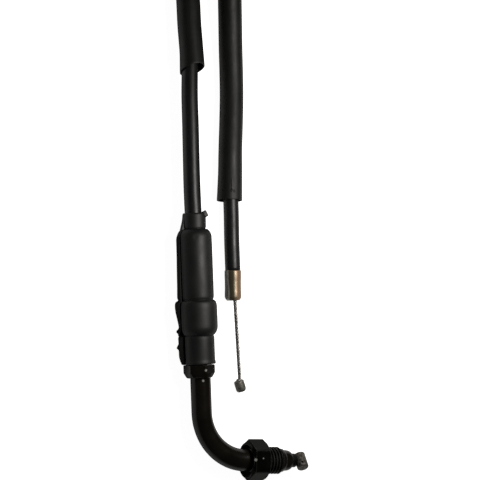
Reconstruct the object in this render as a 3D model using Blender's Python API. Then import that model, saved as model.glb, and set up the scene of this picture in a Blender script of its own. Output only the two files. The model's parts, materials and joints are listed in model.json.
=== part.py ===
"""Motorcycle throttle cable: a sheathed pull cable with a bent, screw-in throttle end and a bare wire end.

The throttle end is a bent steel pipe that carries a loose threaded nut, the wire's barrel nipple and an
in-line adjuster under a slit rubber boot. The carburettor end is a brass ferrule, bare wire and a small drum
nipple.
The cable lies flat, its long middle wound once and three quarters round and tied.
Metres, +Z up, floor at z = 0.
"""

import math

import bmesh
import bpy
from mathutils import Matrix, Vector

# Clearances
FIT_GAP = 0.0003  # between pieces that rest on each other
RUN_GAP = 0.0002  # radial, in threads and turning fits
LAYER_GAP = 0.0007  # between two turns of the coil

# Cable section, from the wire outwards
WIRE_D = 0.0012
LINER_SLACK = 0.00025
LINER_WALL = 0.00025
LINER_D = WIRE_D + 2 * (LINER_SLACK + LINER_WALL)
ARMOUR_SLACK = 0.00015
ARMOUR_WALL = 0.00075
ARMOUR_D = LINER_D + 2 * (ARMOUR_SLACK + ARMOUR_WALL)
JACKET_SLACK = 0.00015
JACKET_WALL = 0.0006
JACKET_D = ARMOUR_D + 2 * (JACKET_SLACK + JACKET_WALL)
SLEEVE_SLACK = 0.00075
SLEEVE_WALL = 0.00075
SLEEVE_D = JACKET_D + 2 * (SLEEVE_SLACK + SLEEVE_WALL)

# Rubber boot over the adjuster; stations run down the adjuster axis from the top of the boot
BOOT_GAP = 0.0003  # over what it covers
BOOT_COLLAR_LENGTH = 0.0056
BOOT_SHOULDER_LENGTH = 0.0022
BOOT_BODY_LENGTH = 0.0238
BOOT_BAND_SLOPE = 0.0019
BOOT_BAND_LENGTH = 0.0098
BOOT_LOWER_SLOPE = 0.0021
BOOT_LOWER_LENGTH = 0.0106
BOOT_COLLAR_WALL = 0.00145
BOOT_BODY_WALL = 0.00155
BOOT_BAND_ROOM = 0.0006  # the band's bore over the body's
BOOT_BAND_WALL = 0.0019
BOOT_LOWER_WALL = 0.00115
BOOT_ROUND = 0.0008  # rounding of its edges
BOOT_SLIT_ANGLE = math.radians(168)  # from +X towards up, seen down the axis
BOOT_SLIT_WIDTH = 0.0006
BOOT_LIP = 0.0008  # how far the slit's lower edge stands proud
BOOT_LIP_SPREAD = math.radians(48)
BOOT_NOTCH_SPREAD = math.radians(85)  # where the band's lower half is cut back beside the slit
BOOT_TAB_OUT = 0.0012
BOOT_TAB_ACROSS = 0.0012
BOOT_TAB_ALONG = 0.0024
BOOT_TAB_RISE = 0.0007  # above the boot's top
BOOT_TAB_ANGLE = math.radians(40)

BOOT_BODY_TOP = BOOT_COLLAR_LENGTH + BOOT_SHOULDER_LENGTH
BOOT_BODY_FOOT = BOOT_BODY_TOP + BOOT_BODY_LENGTH
BOOT_BAND_TOP = BOOT_BODY_FOOT + BOOT_BAND_SLOPE
BOOT_BAND_FOOT = BOOT_BAND_TOP + BOOT_BAND_LENGTH
BOOT_LOWER_TOP = BOOT_BAND_FOOT + BOOT_LOWER_SLOPE
BOOT_LENGTH = BOOT_LOWER_TOP + BOOT_LOWER_LENGTH

# Adjuster barrel, lock nut and stud
CAP_BELOW_SHOULDER = 0.0008  # of the boot
CAP_TOP = BOOT_BODY_TOP + CAP_BELOW_SHOULDER
CAP_LENGTH = 0.011
CAP_WALL = 0.0008
CAP_END_WALL = 0.002
CAP_FOOT = CAP_TOP + CAP_LENGTH
CAP_D = ARMOUR_D + 2 * (FIT_GAP + CAP_WALL)
CAP_PROUD = 0.001  # of the barrel
BARREL_TOP = CAP_TOP + CAP_PROUD
BARREL_LENGTH = 0.024
BARREL_FLATS = 0.008
BARREL_FOOT = BARREL_TOP + BARREL_LENGTH
BARREL_SEAT = CAP_FOOT + FIT_GAP
BARREL_SEAT_WALL = 0.0015  # the shoulder that the cable's cap pushes on
LOCK_NUT_LENGTH = 0.004
LOCK_NUT_TOP = BARREL_FOOT + FIT_GAP
HEX_CHAMFER = 0.0006
STUD_D = 0.006  # M6 thread
STUD_BORE = 0.0034
STUD_CHAMFER = 0.0005
ADJUSTER_TRAVEL = 0.006
STUD_HOLD = 0.0051  # thread still in the barrel when the adjuster is run out
STUD_TOP = BARREL_FOOT - STUD_HOLD - ADJUSTER_TRAVEL

BOOT_BORE = BARREL_FLATS / math.sqrt(3) + BOOT_GAP
BOOT_COLLAR_BORE = JACKET_D / 2 + BOOT_GAP
BOOT_COLLAR_R = BOOT_COLLAR_BORE + BOOT_COLLAR_WALL
BOOT_BODY_R = BOOT_BORE + BOOT_BODY_WALL
BOOT_LOWER_R = BOOT_BORE + BOOT_LOWER_WALL
BOOT_BAND_BORE = BOOT_BORE + BOOT_BAND_ROOM
BOOT_BAND_R = BOOT_BAND_BORE + BOOT_BAND_WALL
AXIS_Z = BOOT_BAND_R  # the boot's band lies on the floor

# Hex collar at the stud's foot, and the bent pipe brazed into it
COLLAR_TOP = BOOT_LENGTH + FIT_GAP
COLLAR_LENGTH = 0.0048
COLLAR_FOOT = COLLAR_TOP + COLLAR_LENGTH
COLLAR_FLATS = 0.010
COLLAR_FACE_ANGLE = math.radians(117)  # the way one of its flats looks
COLLAR_NECK = 0.0021  # length of the tapered foot
COLLAR_NECK_WALL = 0.0009
PIPE_SOCKET = 0.0035
PIPE_D = 0.0072
PIPE_WALL = 0.00105
PIPE_STRAIGHT = 0.0129  # from the collar to the bend
PIPE_BEND_R = 0.019
PIPE_BEND_ANGLE = math.radians(85.7)
PIPE_TOP = COLLAR_FOOT - PIPE_SOCKET + FIT_GAP
PIPE_BEND_START = COLLAR_FOOT + PIPE_STRAIGHT

# Outlet: stations run along the pipe from the end of its bend
BEAD_START = 0.0019
BEAD_LENGTH = 0.0013
BEAD_HEIGHT = 0.0006
NUT_SEAT = BEAD_START + BEAD_LENGTH + FIT_GAP  # floor of the nut's recess, which pushes on the bead
NUT_RECESS = 0.0020
NUT_RECESS_D = 0.0114
NUT_START = NUT_SEAT - NUT_RECESS
NUT_LENGTH = 0.0057
NUT_FLATS = 0.014
NUT_CHAMFER = 0.0004
NUT_BORE = PIPE_D + 2 * RUN_GAP
THREAD_D = 0.010  # M10
THREAD_PITCH = 0.00125
THREAD_DEPTH = 0.0006
THREAD_TURNS = 5
THREAD_LENGTH = THREAD_TURNS * THREAD_PITCH
THREAD_COLLAR = 0.0003  # plain collar between the seat face and the first turn
THREAD_END = 0.0003  # plain end past the last turn
NUT_FOOT = NUT_START + NUT_LENGTH + THREAD_COLLAR + THREAD_LENGTH + THREAD_END
FLARE_START = NUT_FOOT + FIT_GAP
FLARE_LENGTH = 0.0012
FLARE_HEIGHT = 0.0005
PILOT_START = FLARE_START + FLARE_LENGTH
PILOT_D = 0.0072
PILOT_LENGTH = 0.0014
PILOT_TAPER = 0.0010
PILOT_TAPER_D = 0.0060
PILOT_END = PILOT_START + PILOT_LENGTH + PILOT_TAPER
TIP_D = 0.0042
TIP_SLACK = 0.0005  # round the wire
TIP_CHAMFER = 0.0004
TIP_START = 0.0025
TIP_STEP = 0.0008  # length over which the pipe's bore narrows to the tip
TIP_PROUD = 0.0034  # of the pilot
TIP_END = PILOT_END + TIP_PROUD

# Wire ends and their nipples
THROTTLE_PULL = 0.026
WIRE_TAIL = 0.0075  # of the throttle wire, back into the bend
WIRE_BREAK = 0.0015  # between a wire end that moves and the fixed wire behind it
WIRE_JOIN = 0.0006  # between two fixed stretches of the wire
NIPPLE_D = 0.0038
NIPPLE_LENGTH = 0.0062
NIPPLE_TWIST = math.radians(-38)
NIPPLE_GAP = 0.0007  # from the liner's tip
NIPPLE_STATION = TIP_END + NIPPLE_GAP + NIPPLE_D / 2
FERRULE_LENGTH = 0.0113
FERRULE_WALL = 0.0007
FERRULE_END_WALL = 0.002
FERRULE_END_BEVEL = 0.0005
FERRULE_CRIMP_DEPTH = 0.0002
FERRULE_CRIMP_START = 0.0036  # back from its end
FERRULE_CRIMP_LENGTH = 0.0045
FERRULE_HOLE = 0.0030
FERRULE_D = ARMOUR_D + 2 * (FIT_GAP + FERRULE_WALL)
BARE_WIRE_SPARE = 0.004  # bare wire left at full pull
BARE_WIRE = THROTTLE_PULL + BARE_WIRE_SPARE
CARB_WIRE_TAIL = 0.004  # inside the ferrule
CARB_WIRE_LEAN = math.radians(1.6)
CARB_WIRE_OFFSET = 0.0005
CARB_WIRE_SUNK = 0.0004  # its end, in the nipple's face
CARB_NIPPLE_D = 0.0036
CARB_NIPPLE_LENGTH = 0.0044
CARB_NIPPLE_BEVEL = 0.0005

# Cable route, from the adjuster to the ferrule, and the sleeve's two mouths on it
CABLE_START = (0.0, -CAP_FOOT, AXIS_Z)  # in the cap's foot
THROTTLE_ROUTE = [
    (0.0000, -0.0050, AXIS_Z),
    (0.0000, 0.0080, AXIS_Z),
    (0.0000, 0.0200, AXIS_Z),
    (0.0000, 0.0320, AXIS_Z),
    (0.0000, 0.0430, AXIS_Z),
    (0.0005, 0.0520, AXIS_Z),
    (0.0010, 0.0600, AXIS_Z),
    (0.0012, 0.0700, 0.0073),
    (0.0012, 0.0800, 0.0070),
    (0.0010, 0.0909, 0.0062),
    (0.0002, 0.0986, 0.0055),
    (-0.0023, 0.1060, 0.0050),
    (-0.0064, 0.1128, 0.0046),
    (-0.0137, 0.1223, 0.0043),
    (-0.0210, 0.1318, 0.0043),
]
CARB_ROUTE = [
    (0.0317, 0.1374, 0.0135),
    (0.0244, 0.1279, 0.0135),
    (0.0203, 0.1211, 0.0135),
    (0.0178, 0.1137, 0.0134),
    (0.0170, 0.1060, 0.0130),
    (0.0169, 0.0970, 0.0119),
    (0.0171, 0.0880, 0.0104),
    (0.0177, 0.0790, 0.0087),
    (0.0183, 0.0700, 0.0071),
    (0.0188, 0.0610, 0.0057),
    (0.0191, 0.0520, 0.0048),
    (0.0191, 0.0430, 0.0044),
    (0.0186, 0.0330, 0.0043),
    (0.0179, 0.0230, 0.0043),
    (0.0174, 0.0140, 0.0041),
    (0.0172, 0.0060, 0.0038),
    (0.0172, -0.0020, 0.0038),
    (0.0172, -0.0120, 0.0038),
    (0.0172, -0.0220, 0.0038),
    (0.0172, -0.0332, 0.0038),
]
FERRULE_END = CARB_ROUTE[-1]
ROUTE_STEP = 0.0125  # between points of the cable's centre line
THROTTLE_MOUTH = 0.0545  # of the sleeve, above the top of the boot
CARB_MOUTH = 0.0370  # of the sleeve, back from the end of the ferrule
THROTTLE_MOUTH_SHIFT = (0.0004, 0.0, 0.0)  # how the slack sleeve lies off the cable's centre line
CARB_MOUTH_SHIFT = (-0.00025, 0.0, 0.00045)
MOUTH_SHIFT_LENGTH = 0.045
LINER_SHORT = 0.034  # liner and core stop this far short of the ferrule's end
CORE_SHORT = 0.004  # the fixed core wire stops this far above the pipe's bend
CORE_FOOT = PIPE_BEND_START - CORE_SHORT

# Coil: one turn and three quarters, the second inside the first, leaving over it
COIL_CENTRE = (0.0090, 0.1699)
COIL_OUTER_R = 0.047
COIL_INNER_R = COIL_OUTER_R - SLEEVE_D - LAYER_GAP
COIL_START = 217.5
COIL_STEP = 15.0  # degrees, 24 points a turn
COIL_STEPS = 41
COIL_CLEAR = 0.00005  # over the floor
COIL_Z = SLEEVE_D / 2 + COIL_CLEAR
COIL_HOP = SLEEVE_D + LAYER_GAP  # height of the way out over the first turn
COIL_SHRINK = (255.0, 335.0)  # degrees along the coil where it winds inwards
COIL_CLIMB = (525.0, 612.0)  # degrees along the coil where it climbs
COIL_END_STRAIGHT = 0.009
TIE_WALL = 0.0010
TIE_WIDTH = 0.006
TIE_CORNER_R = 0.0026
TIE_ANGLE = 90.0
TIE_LIFT_SPREAD = 60.0  # degrees each side over which the coil rises onto the tie

ROUND_STEPS = 24
BOOT_STEPS = 32
BEND_STEPS = 9


def clear_scene():
    for old in list(bpy.data.objects):
        bpy.data.objects.remove(old, do_unlink=True)


def material(name, colour, roughness, metallic=0.0):
    mat = bpy.data.materials.new(name)
    mat.use_nodes = True
    shader = mat.node_tree.nodes["Principled BSDF"]
    shader.inputs["Base Color"].default_value = (*colour, 1.0)
    shader.inputs["Roughness"].default_value = roughness
    shader.inputs["Metallic"].default_value = metallic
    return mat


def put(name, data, mat, frame):
    obj = bpy.data.objects.new(name, data)
    bpy.context.scene.collection.objects.link(obj)
    if mat is not None:
        data.materials.append(mat)
    obj.parent = frame
    return obj


def axis_frame(name, origin, direction, parent):
    """An empty whose local Z runs along the direction and whose local Y looks up."""
    along = Vector(direction).normalized()
    up = Vector((0, 0, 1))
    side = up.cross(along)
    turn = Matrix((side, up, along)).transposed()
    empty = bpy.data.objects.new(name, None)
    bpy.context.scene.collection.objects.link(empty)
    empty.location = origin
    empty.rotation_euler = turn.to_euler()
    empty.parent = parent
    return empty


def mesh_from(bm, name):
    bmesh.ops.recalc_face_normals(bm, faces=bm.faces[:])
    mesh = bpy.data.meshes.new(name)
    bm.to_mesh(mesh)
    bm.free()
    mesh.shade_smooth()
    mesh.set_sharp_from_angle(angle=math.radians(35))
    return mesh


def closed_profile(bm, profile, angle=0.0):
    """A closed loop of edges in the half plane at the angle, from (radius, station) pairs."""
    turn = Matrix.Rotation(angle, 3, "Z")
    verts = [bm.verts.new(turn @ Vector((r, 0, z))) for r, z in profile]
    edges = [bm.edges.new((a, b)) for a, b in zip(verts, verts[1:] + verts[:1])]
    return verts, edges


def turned(name, profile, mat, frame, steps=ROUND_STEPS):
    """A piece turned on a lathe: the profile spun once round the frame's Z."""
    bm = bmesh.new()
    verts, edges = closed_profile(bm, profile)
    bmesh.ops.spin(
        bm, geom=verts + edges, cent=(0, 0, 0), axis=(0, 0, 1), angle=math.tau, steps=steps, use_merge=True
    )
    return put(name, mesh_from(bm, name), mat, frame)


def combine(obj, tool, operation):
    tool.hide_render = True
    tool.display_type = "WIRE"
    mod = obj.modifiers.new(operation.lower(), "BOOLEAN")
    mod.operation = operation
    mod.solver = "EXACT"
    mod.object = tool


def mill_hex(obj, flats, face_angle, start, end, frame):
    """Cut the piece to a hexagon over its whole length, one flat looking along the face angle."""
    bm = bmesh.new()
    middle = Matrix.Translation((0, 0, (start + end) / 2))
    turn = Matrix.Rotation(face_angle - math.radians(60), 4, "Z")
    corner = flats / math.sqrt(3)
    depth = (end - start) * 2
    bmesh.ops.create_cone(
        bm, cap_ends=True, segments=6, radius1=corner, radius2=corner, depth=depth, matrix=middle @ turn
    )
    tool = put(obj.name + ".hex", mesh_from(bm, obj.name + ".hex"), None, frame)
    combine(obj, tool, "INTERSECT")


def drill(obj, diameter, depth, frame, name):
    """A round hole through the piece along the frame's Z."""
    bm = bmesh.new()
    r = diameter / 2
    bmesh.ops.create_cone(bm, cap_ends=True, segments=16, radius1=r, radius2=r, depth=depth)
    tool = put(name, mesh_from(bm, name), None, frame)
    combine(obj, tool, "DIFFERENCE")
    return tool


def smooth_route(points, step):
    """Points a step apart on a smooth curve through the route's own points, ends kept."""
    pts = [Vector(p) for p in points]
    pts = [2 * pts[0] - pts[1]] + pts + [2 * pts[-1] - pts[-2]]
    fine = []
    for a, b, c, d in zip(pts, pts[1:], pts[2:], pts[3:]):
        for i in range(20):
            t = i / 20
            squared = (2 * a - 5 * b + 4 * c - d) * t**2
            cubed = (3 * b - a - 3 * c + d) * t**3
            fine.append(0.5 * (2 * b + (c - a) * t + squared + cubed))
    fine.append(pts[-2])
    length = sum((b - a).length for a, b in zip(fine, fine[1:]))
    count = max(2, round(length / step))
    return stations_on(fine, [length * i / count for i in range(count + 1)])


def stations_on(points, stations):
    """The points at the given distances along a line of points."""
    out, run, i = [], 0.0, 0
    for s in stations:
        while i < len(points) - 2 and run + (points[i + 1] - points[i]).length < s:
            run += (points[i + 1] - points[i]).length
            i += 1
        gap = points[i + 1] - points[i]
        out.append(points[i] + gap * ((s - run) / gap.length))
    return out


def stretch(points, start, end):
    """The part of a line of points between two distances along it."""
    too_near = 0.0005
    run, out = 0.0, []
    for a, b in zip(points, points[1:]):
        run += (b - a).length
        if start + too_near < run < end - too_near:
            out.append(b)
    first, last = stations_on(points, [start, end])
    return [first] + out + [last]


def line_length(points):
    return sum((b - a).length for a, b in zip(points, points[1:]))


def tube(name, points, diameter, mat, frame, wall=None, resolution=2):
    """A round tube along the points: solid with filled ends, or with an open bore where a wall is given."""
    curve = bpy.data.curves.new(name, "CURVE")
    curve.dimensions = "3D"
    curve.twist_mode = "Z_UP"
    curve.bevel_depth = diameter / 2
    curve.bevel_resolution = resolution
    curve.use_fill_caps = wall is None
    spline = curve.splines.new("POLY")
    spline.points.add(len(points) - 1)
    for point, place in zip(spline.points, points):
        point.co = (*place, 1.0)
    obj = put(name, curve, mat, frame)
    if wall is not None:
        sides = 4 + 2 * resolution
        shell = obj.modifiers.new("wall", "SOLIDIFY")
        shell.thickness = wall * math.cos(math.pi / sides)
        shell.offset = -1.0
        shell.use_even_offset = True
        shell.use_rim = True
    return obj


def ease(value, start, end):
    t = min(1.0, max(0.0, (value - start) / (end - start)))
    return t * t * (3 - 2 * t)


def coil_points():
    points = []
    tie_lift = TIE_WALL + FIT_GAP
    for i in range(COIL_STEPS + 1):
        run = i * COIL_STEP
        angle = COIL_START - run
        radius = COIL_OUTER_R + (COIL_INNER_R - COIL_OUTER_R) * ease(run, *COIL_SHRINK)
        from_tie = abs((angle - TIE_ANGLE + 180) % 360 - 180)
        lift = tie_lift * (1 - ease(from_tie, 0, TIE_LIFT_SPREAD))
        if from_tie < COIL_STEP:
            lift = tie_lift
        height = COIL_Z + max(lift, COIL_HOP * ease(run, *COIL_CLIMB))
        a = math.radians(angle)
        points.append(
            Vector((COIL_CENTRE[0] + radius * math.cos(a), COIL_CENTRE[1] + radius * math.sin(a), height))
        )
    return points


def least_gap(points, diameter):
    """The least clear distance between far apart stretches of a round tube along the points."""
    step, apart_length = 0.003, 0.05
    length = line_length(points)
    count = round(length / step)
    fine = stations_on(points, [length * i / count for i in range(count + 1)])
    apart = round(apart_length / step)
    return min((b - a).length for i, a in enumerate(fine) for b in fine[i + apart :]) - diameter


clear_scene()
assembly = bpy.data.objects.new("assembly", None)
bpy.context.scene.collection.objects.link(assembly)

rubber = material("boot_rubber", (0.022, 0.022, 0.023), 0.55)
sleeve_vinyl = material("sleeve_vinyl", (0.016, 0.016, 0.017), 0.45)
jacket_vinyl = material("jacket_vinyl", (0.012, 0.012, 0.013), 0.35)
black_paint = material("black_paint", (0.018, 0.016, 0.014), 0.25)
black_zinc = material("black_zinc", (0.03, 0.03, 0.03), 0.4, 0.7)
brass = material("yellow_plated_brass", (0.55, 0.36, 0.16), 0.35, 1.0)
steel = material("bright_steel", (0.55, 0.55, 0.55), 0.35, 1.0)
cast_zinc = material("cast_zinc", (0.45, 0.44, 0.42), 0.45, 1.0)
liner_plastic = material("liner_plastic", (0.75, 0.74, 0.70), 0.4)
tip_plastic = material("tip_plastic", (0.015, 0.015, 0.015), 0.45)
tie_plastic = material("tie_plastic", (0.02, 0.02, 0.02), 0.5)

# Frames: the adjuster axis runs down -Y from the top of the boot, the outlet leaves the pipe's bend
adjuster = axis_frame("adjuster_axis", (0, 0, AXIS_Z), (0, -1, 0), assembly)
outlet_direction = Vector((math.sin(PIPE_BEND_ANGLE), -math.cos(PIPE_BEND_ANGLE), 0))
bend_end = Vector(
    (
        PIPE_BEND_R * (1 - math.cos(PIPE_BEND_ANGLE)),
        -PIPE_BEND_START - PIPE_BEND_R * math.sin(PIPE_BEND_ANGLE),
        AXIS_Z,
    )
)
outlet = axis_frame("outlet_axis", bend_end, outlet_direction, assembly)
ferrule_axis = axis_frame("ferrule_axis", FERRULE_END, (0, -1, 0), assembly)
carb_wire_direction = Vector((math.sin(CARB_WIRE_LEAN), -math.cos(CARB_WIRE_LEAN), 0))
carb_wire_exit = Vector(FERRULE_END) + Vector((CARB_WIRE_OFFSET, 0, 0))
carb_axis = axis_frame("carb_wire_axis", carb_wire_exit, carb_wire_direction, assembly)


def boot():
    """The slit rubber boot: collar, body, band and lower sleeve, its slit's lower edge standing proud."""
    band_middle = (BOOT_BAND_TOP + BOOT_BAND_FOOT) / 2
    profile = [
        (BOOT_COLLAR_R, 0),
        (BOOT_COLLAR_R, BOOT_COLLAR_LENGTH),
        (BOOT_BODY_R - BOOT_ROUND / 2, BOOT_BODY_TOP - BOOT_ROUND / 2),
        (BOOT_BODY_R, BOOT_BODY_TOP + BOOT_ROUND),
        (BOOT_BODY_R, BOOT_BODY_FOOT),
        (BOOT_BAND_R - BOOT_ROUND / 4, BOOT_BAND_TOP),
        (BOOT_BAND_R, BOOT_BAND_TOP + BOOT_ROUND),
        (BOOT_BAND_R, band_middle),
        (BOOT_BAND_R, BOOT_BAND_FOOT - BOOT_ROUND),
        (BOOT_BAND_R - BOOT_ROUND / 4, BOOT_BAND_FOOT),
        (BOOT_LOWER_R, BOOT_LOWER_TOP),
        (BOOT_LOWER_R, BOOT_LENGTH),
        (BOOT_BORE, BOOT_LENGTH),
        (BOOT_BORE, BOOT_LOWER_TOP),
        (BOOT_BAND_BORE, BOOT_BAND_FOOT - BOOT_ROUND),
        (BOOT_BAND_BORE, BOOT_BAND_TOP + BOOT_ROUND),
        (BOOT_BORE, BOOT_BODY_FOOT),
        (BOOT_BORE, BOOT_BODY_TOP + BOOT_ROUND),
        (BOOT_COLLAR_BORE, BOOT_COLLAR_LENGTH + BOOT_ROUND / 2),
        (BOOT_COLLAR_BORE, 0),
    ]
    outer_points = 12
    half_slit = math.asin(BOOT_SLIT_WIDTH / 2 / BOOT_BODY_R)
    begin = BOOT_SLIT_ANGLE + half_slit
    sweep = math.tau - 2 * half_slit
    bm = bmesh.new()
    outside = bm.verts.layers.int.new("outside")
    verts, edges = closed_profile(bm, profile, begin)
    for vert in verts[:outer_points]:
        vert[outside] = 1
    spun = bmesh.ops.spin(
        bm, geom=verts + edges, cent=(0, 0, 0), axis=(0, 0, 1), angle=sweep, steps=BOOT_STEPS, use_merge=False
    )
    far_edges = [e for e in spun["geom_last"] if isinstance(e, bmesh.types.BMEdge)]
    bmesh.ops.contextual_create(bm, geom=edges)
    bmesh.ops.contextual_create(bm, geom=far_edges)
    for vert in bm.verts:
        if not vert[outside]:
            continue
        radius = math.hypot(vert.co.x, vert.co.y)
        past_slit = (math.atan2(vert.co.y, vert.co.x) - begin + half_slit) % math.tau
        lip = BOOT_LIP * max(0.0, 1 - past_slit / BOOT_LIP_SPREAD)
        notch = 0.0
        if band_middle < vert.co.z < BOOT_LOWER_TOP:
            notch = (radius - BOOT_LOWER_R) * (1 - ease(past_slit, BOOT_NOTCH_SPREAD / 2, BOOT_NOTCH_SPREAD))
        vert.co.xy *= (radius + lip - notch) / radius
    boot_obj = put("adjuster_boot", mesh_from(bm, "adjuster_boot"), rubber, adjuster)
    bm = bmesh.new()
    sink = BOOT_COLLAR_WALL / 2
    length = BOOT_TAB_OUT + sink
    place = Matrix.Rotation(BOOT_TAB_ANGLE, 4, "Z") @ Matrix.Translation(
        (BOOT_COLLAR_R + BOOT_TAB_OUT - length / 2, 0, BOOT_TAB_ALONG / 2 - BOOT_TAB_RISE)
    )
    bmesh.ops.create_cube(
        bm, size=1.0, matrix=place @ Matrix.Diagonal((length, BOOT_TAB_ACROSS, BOOT_TAB_ALONG, 1))
    )
    tab = put("adjuster_boot.tab", mesh_from(bm, "adjuster_boot.tab"), None, adjuster)
    combine(boot_obj, tab, "UNION")


def end_cap():
    """The cap pressed on the stripped end of the cable, which seats in the adjuster barrel."""
    socket = ARMOUR_D / 2 + FIT_GAP
    hole = STUD_BORE / 2
    profile = [
        (CAP_D / 2, CAP_TOP),
        (CAP_D / 2, CAP_FOOT),
        (hole, CAP_FOOT),
        (hole, CAP_FOOT - CAP_END_WALL),
        (socket, CAP_FOOT - CAP_END_WALL),
        (socket, CAP_TOP),
    ]
    turned("conduit_end_cap", profile, steel, adjuster)


def hex_sleeve(name, flats, top, foot, bores, mat):
    """A hexagon bar with chamfered ends and a stepped bore: (radius, station) pairs from the foot up."""
    corner = flats / math.sqrt(3)
    profile = [
        (corner - HEX_CHAMFER, top),
        (corner, top + HEX_CHAMFER),
        (corner, foot - HEX_CHAMFER),
        (corner - HEX_CHAMFER, foot),
    ] + bores
    obj = turned(name, profile, mat, adjuster)
    mill_hex(obj, flats, math.radians(90), top, foot, adjuster)


def adjuster_barrel():
    """The hexagon adjuster: the cable's cap pushes on its shoulder, the stud's thread runs in its foot."""
    socket = CAP_D / 2 + RUN_GAP
    hole = STUD_BORE / 2
    thread = STUD_D / 2 + RUN_GAP
    bores = [
        (thread, BARREL_FOOT),
        (thread, BARREL_SEAT + BARREL_SEAT_WALL),
        (hole, BARREL_SEAT + BARREL_SEAT_WALL),
        (hole, BARREL_SEAT),
        (socket, BARREL_SEAT),
        (socket, BARREL_TOP),
    ]
    hex_sleeve("adjuster_barrel", BARREL_FLATS, BARREL_TOP, BARREL_FOOT, bores, black_zinc)


def lock_nut():
    """The thin nut that locks the barrel on the stud."""
    foot = LOCK_NUT_TOP + LOCK_NUT_LENGTH
    thread = STUD_D / 2 + RUN_GAP
    bore = [(thread, foot), (thread, LOCK_NUT_TOP)]
    hex_sleeve("lock_nut", BARREL_FLATS, LOCK_NUT_TOP, foot, bore, black_zinc)


def adjuster_stud():
    """The hollow threaded stud, with the hexagon collar that the bent pipe is brazed into."""
    corner = COLLAR_FLATS / math.sqrt(3)
    socket = PIPE_D / 2 + RUN_GAP
    profile = [
        (STUD_D / 2 - STUD_CHAMFER, STUD_TOP),
        (STUD_D / 2, STUD_TOP + STUD_CHAMFER),
        (STUD_D / 2, COLLAR_TOP),
        (corner, COLLAR_TOP),
        (corner, COLLAR_FOOT - COLLAR_NECK),
        (socket + COLLAR_NECK_WALL, COLLAR_FOOT),
        (socket, COLLAR_FOOT),
        (socket, COLLAR_FOOT - PIPE_SOCKET),
        (STUD_BORE / 2, COLLAR_FOOT - PIPE_SOCKET),
        (STUD_BORE / 2, STUD_TOP),
    ]
    obj = turned("adjuster_stud", profile, black_paint, adjuster)
    mill_hex(obj, COLLAR_FLATS, COLLAR_FACE_ANGLE, STUD_TOP, COLLAR_FOOT, adjuster)


def elbow_pipe():
    """The bent steel pipe: a bead behind the loose nut, and a flare and pilot in front of it."""
    r = PIPE_D / 2
    bore = r - PIPE_WALL
    tip_bore = TIP_D / 2 + FIT_GAP
    into_bend = Matrix.Translation((0, -PIPE_BEND_START, AXIS_Z))
    spin_centre = Matrix.Translation((PIPE_BEND_R, 0, 0))
    stand = Matrix.Rotation(math.pi / 2, 4, "X")

    def on_pipe(station):
        return Matrix.Translation((0, -station, AXIS_Z)) @ stand

    def on_bend(share):
        turn = Matrix.Rotation(PIPE_BEND_ANGLE * share, 4, "Z")
        return into_bend @ spin_centre @ turn @ spin_centre.inverted() @ stand

    def on_outlet(station):
        return on_bend(1.0) @ Matrix.Translation((0, 0, station))

    bend = [i / BEND_STEPS for i in range(BEND_STEPS + 1)]
    rings = [(on_pipe(PIPE_TOP), r)]
    rings += [(on_bend(share), r) for share in bend]
    rings += [
        (on_outlet(BEAD_START), r),
        (on_outlet(BEAD_START + BEAD_LENGTH * 0.3), r + BEAD_HEIGHT),
        (on_outlet(BEAD_START + BEAD_LENGTH * 0.7), r + BEAD_HEIGHT),
        (on_outlet(BEAD_START + BEAD_LENGTH), r),
        (on_outlet(FLARE_START), r),
        (on_outlet(FLARE_START), r + FLARE_HEIGHT),
        (on_outlet(PILOT_START), r + FLARE_HEIGHT * 0.7),
        (on_outlet(PILOT_START), PILOT_D / 2),
        (on_outlet(PILOT_START + PILOT_LENGTH), PILOT_D / 2),
        (on_outlet(PILOT_END), PILOT_TAPER_D / 2),
        (on_outlet(PILOT_END), tip_bore),
        (on_outlet(TIP_START), tip_bore),
        (on_outlet(TIP_START - TIP_STEP), bore),
    ]
    rings += [(on_bend(share), bore) for share in reversed(bend)]
    rings += [(on_pipe(PIPE_TOP), bore)]

    bm = bmesh.new()
    loops = []
    for place, radius in rings:
        loop = bmesh.ops.create_circle(bm, segments=ROUND_STEPS, radius=radius, matrix=place)["verts"]
        loops.append(loop)
    for a, b in zip(loops, loops[1:] + loops[:1]):
        for i in range(ROUND_STEPS):
            bm.faces.new((a[i - 1], a[i], b[i], b[i - 1]))
    put("elbow_pipe", mesh_from(bm, "elbow_pipe"), black_paint, assembly)


def swivel_nut():
    """The loose hexagon nut on the pipe, with the male thread that screws into the throttle housing."""
    corner = NUT_FLATS / math.sqrt(3)
    bore = NUT_BORE / 2
    head_foot = NUT_START + NUT_LENGTH
    crest = THREAD_D / 2
    thread_start = head_foot + THREAD_COLLAR
    profile = [
        (corner - NUT_CHAMFER, NUT_START),
        (corner, NUT_START + NUT_CHAMFER),
        (corner, head_foot - NUT_CHAMFER),
        (corner - NUT_CHAMFER, head_foot),
        (crest + RUN_GAP, head_foot),
        (crest + RUN_GAP, thread_start),
        (crest - THREAD_DEPTH, thread_start),
    ]
    for i in range(THREAD_TURNS):
        start = thread_start + i * THREAD_PITCH
        profile += [
            (crest - THREAD_DEPTH, start + THREAD_PITCH * 0.15),
            (crest, start + THREAD_PITCH * 0.45),
            (crest, start + THREAD_PITCH * 0.65),
            (crest - THREAD_DEPTH, start + THREAD_PITCH * 0.95),
        ]
    profile += [
        (crest - THREAD_DEPTH, NUT_FOOT),
        (bore, NUT_FOOT),
        (bore, NUT_SEAT),
        (NUT_RECESS_D / 2, NUT_SEAT),
        (NUT_RECESS_D / 2, NUT_START),
    ]
    obj = turned("swivel_nut", profile, black_zinc, outlet)
    mill_hex(obj, NUT_FLATS, math.radians(90), NUT_START, NUT_FOOT, outlet)


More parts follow.
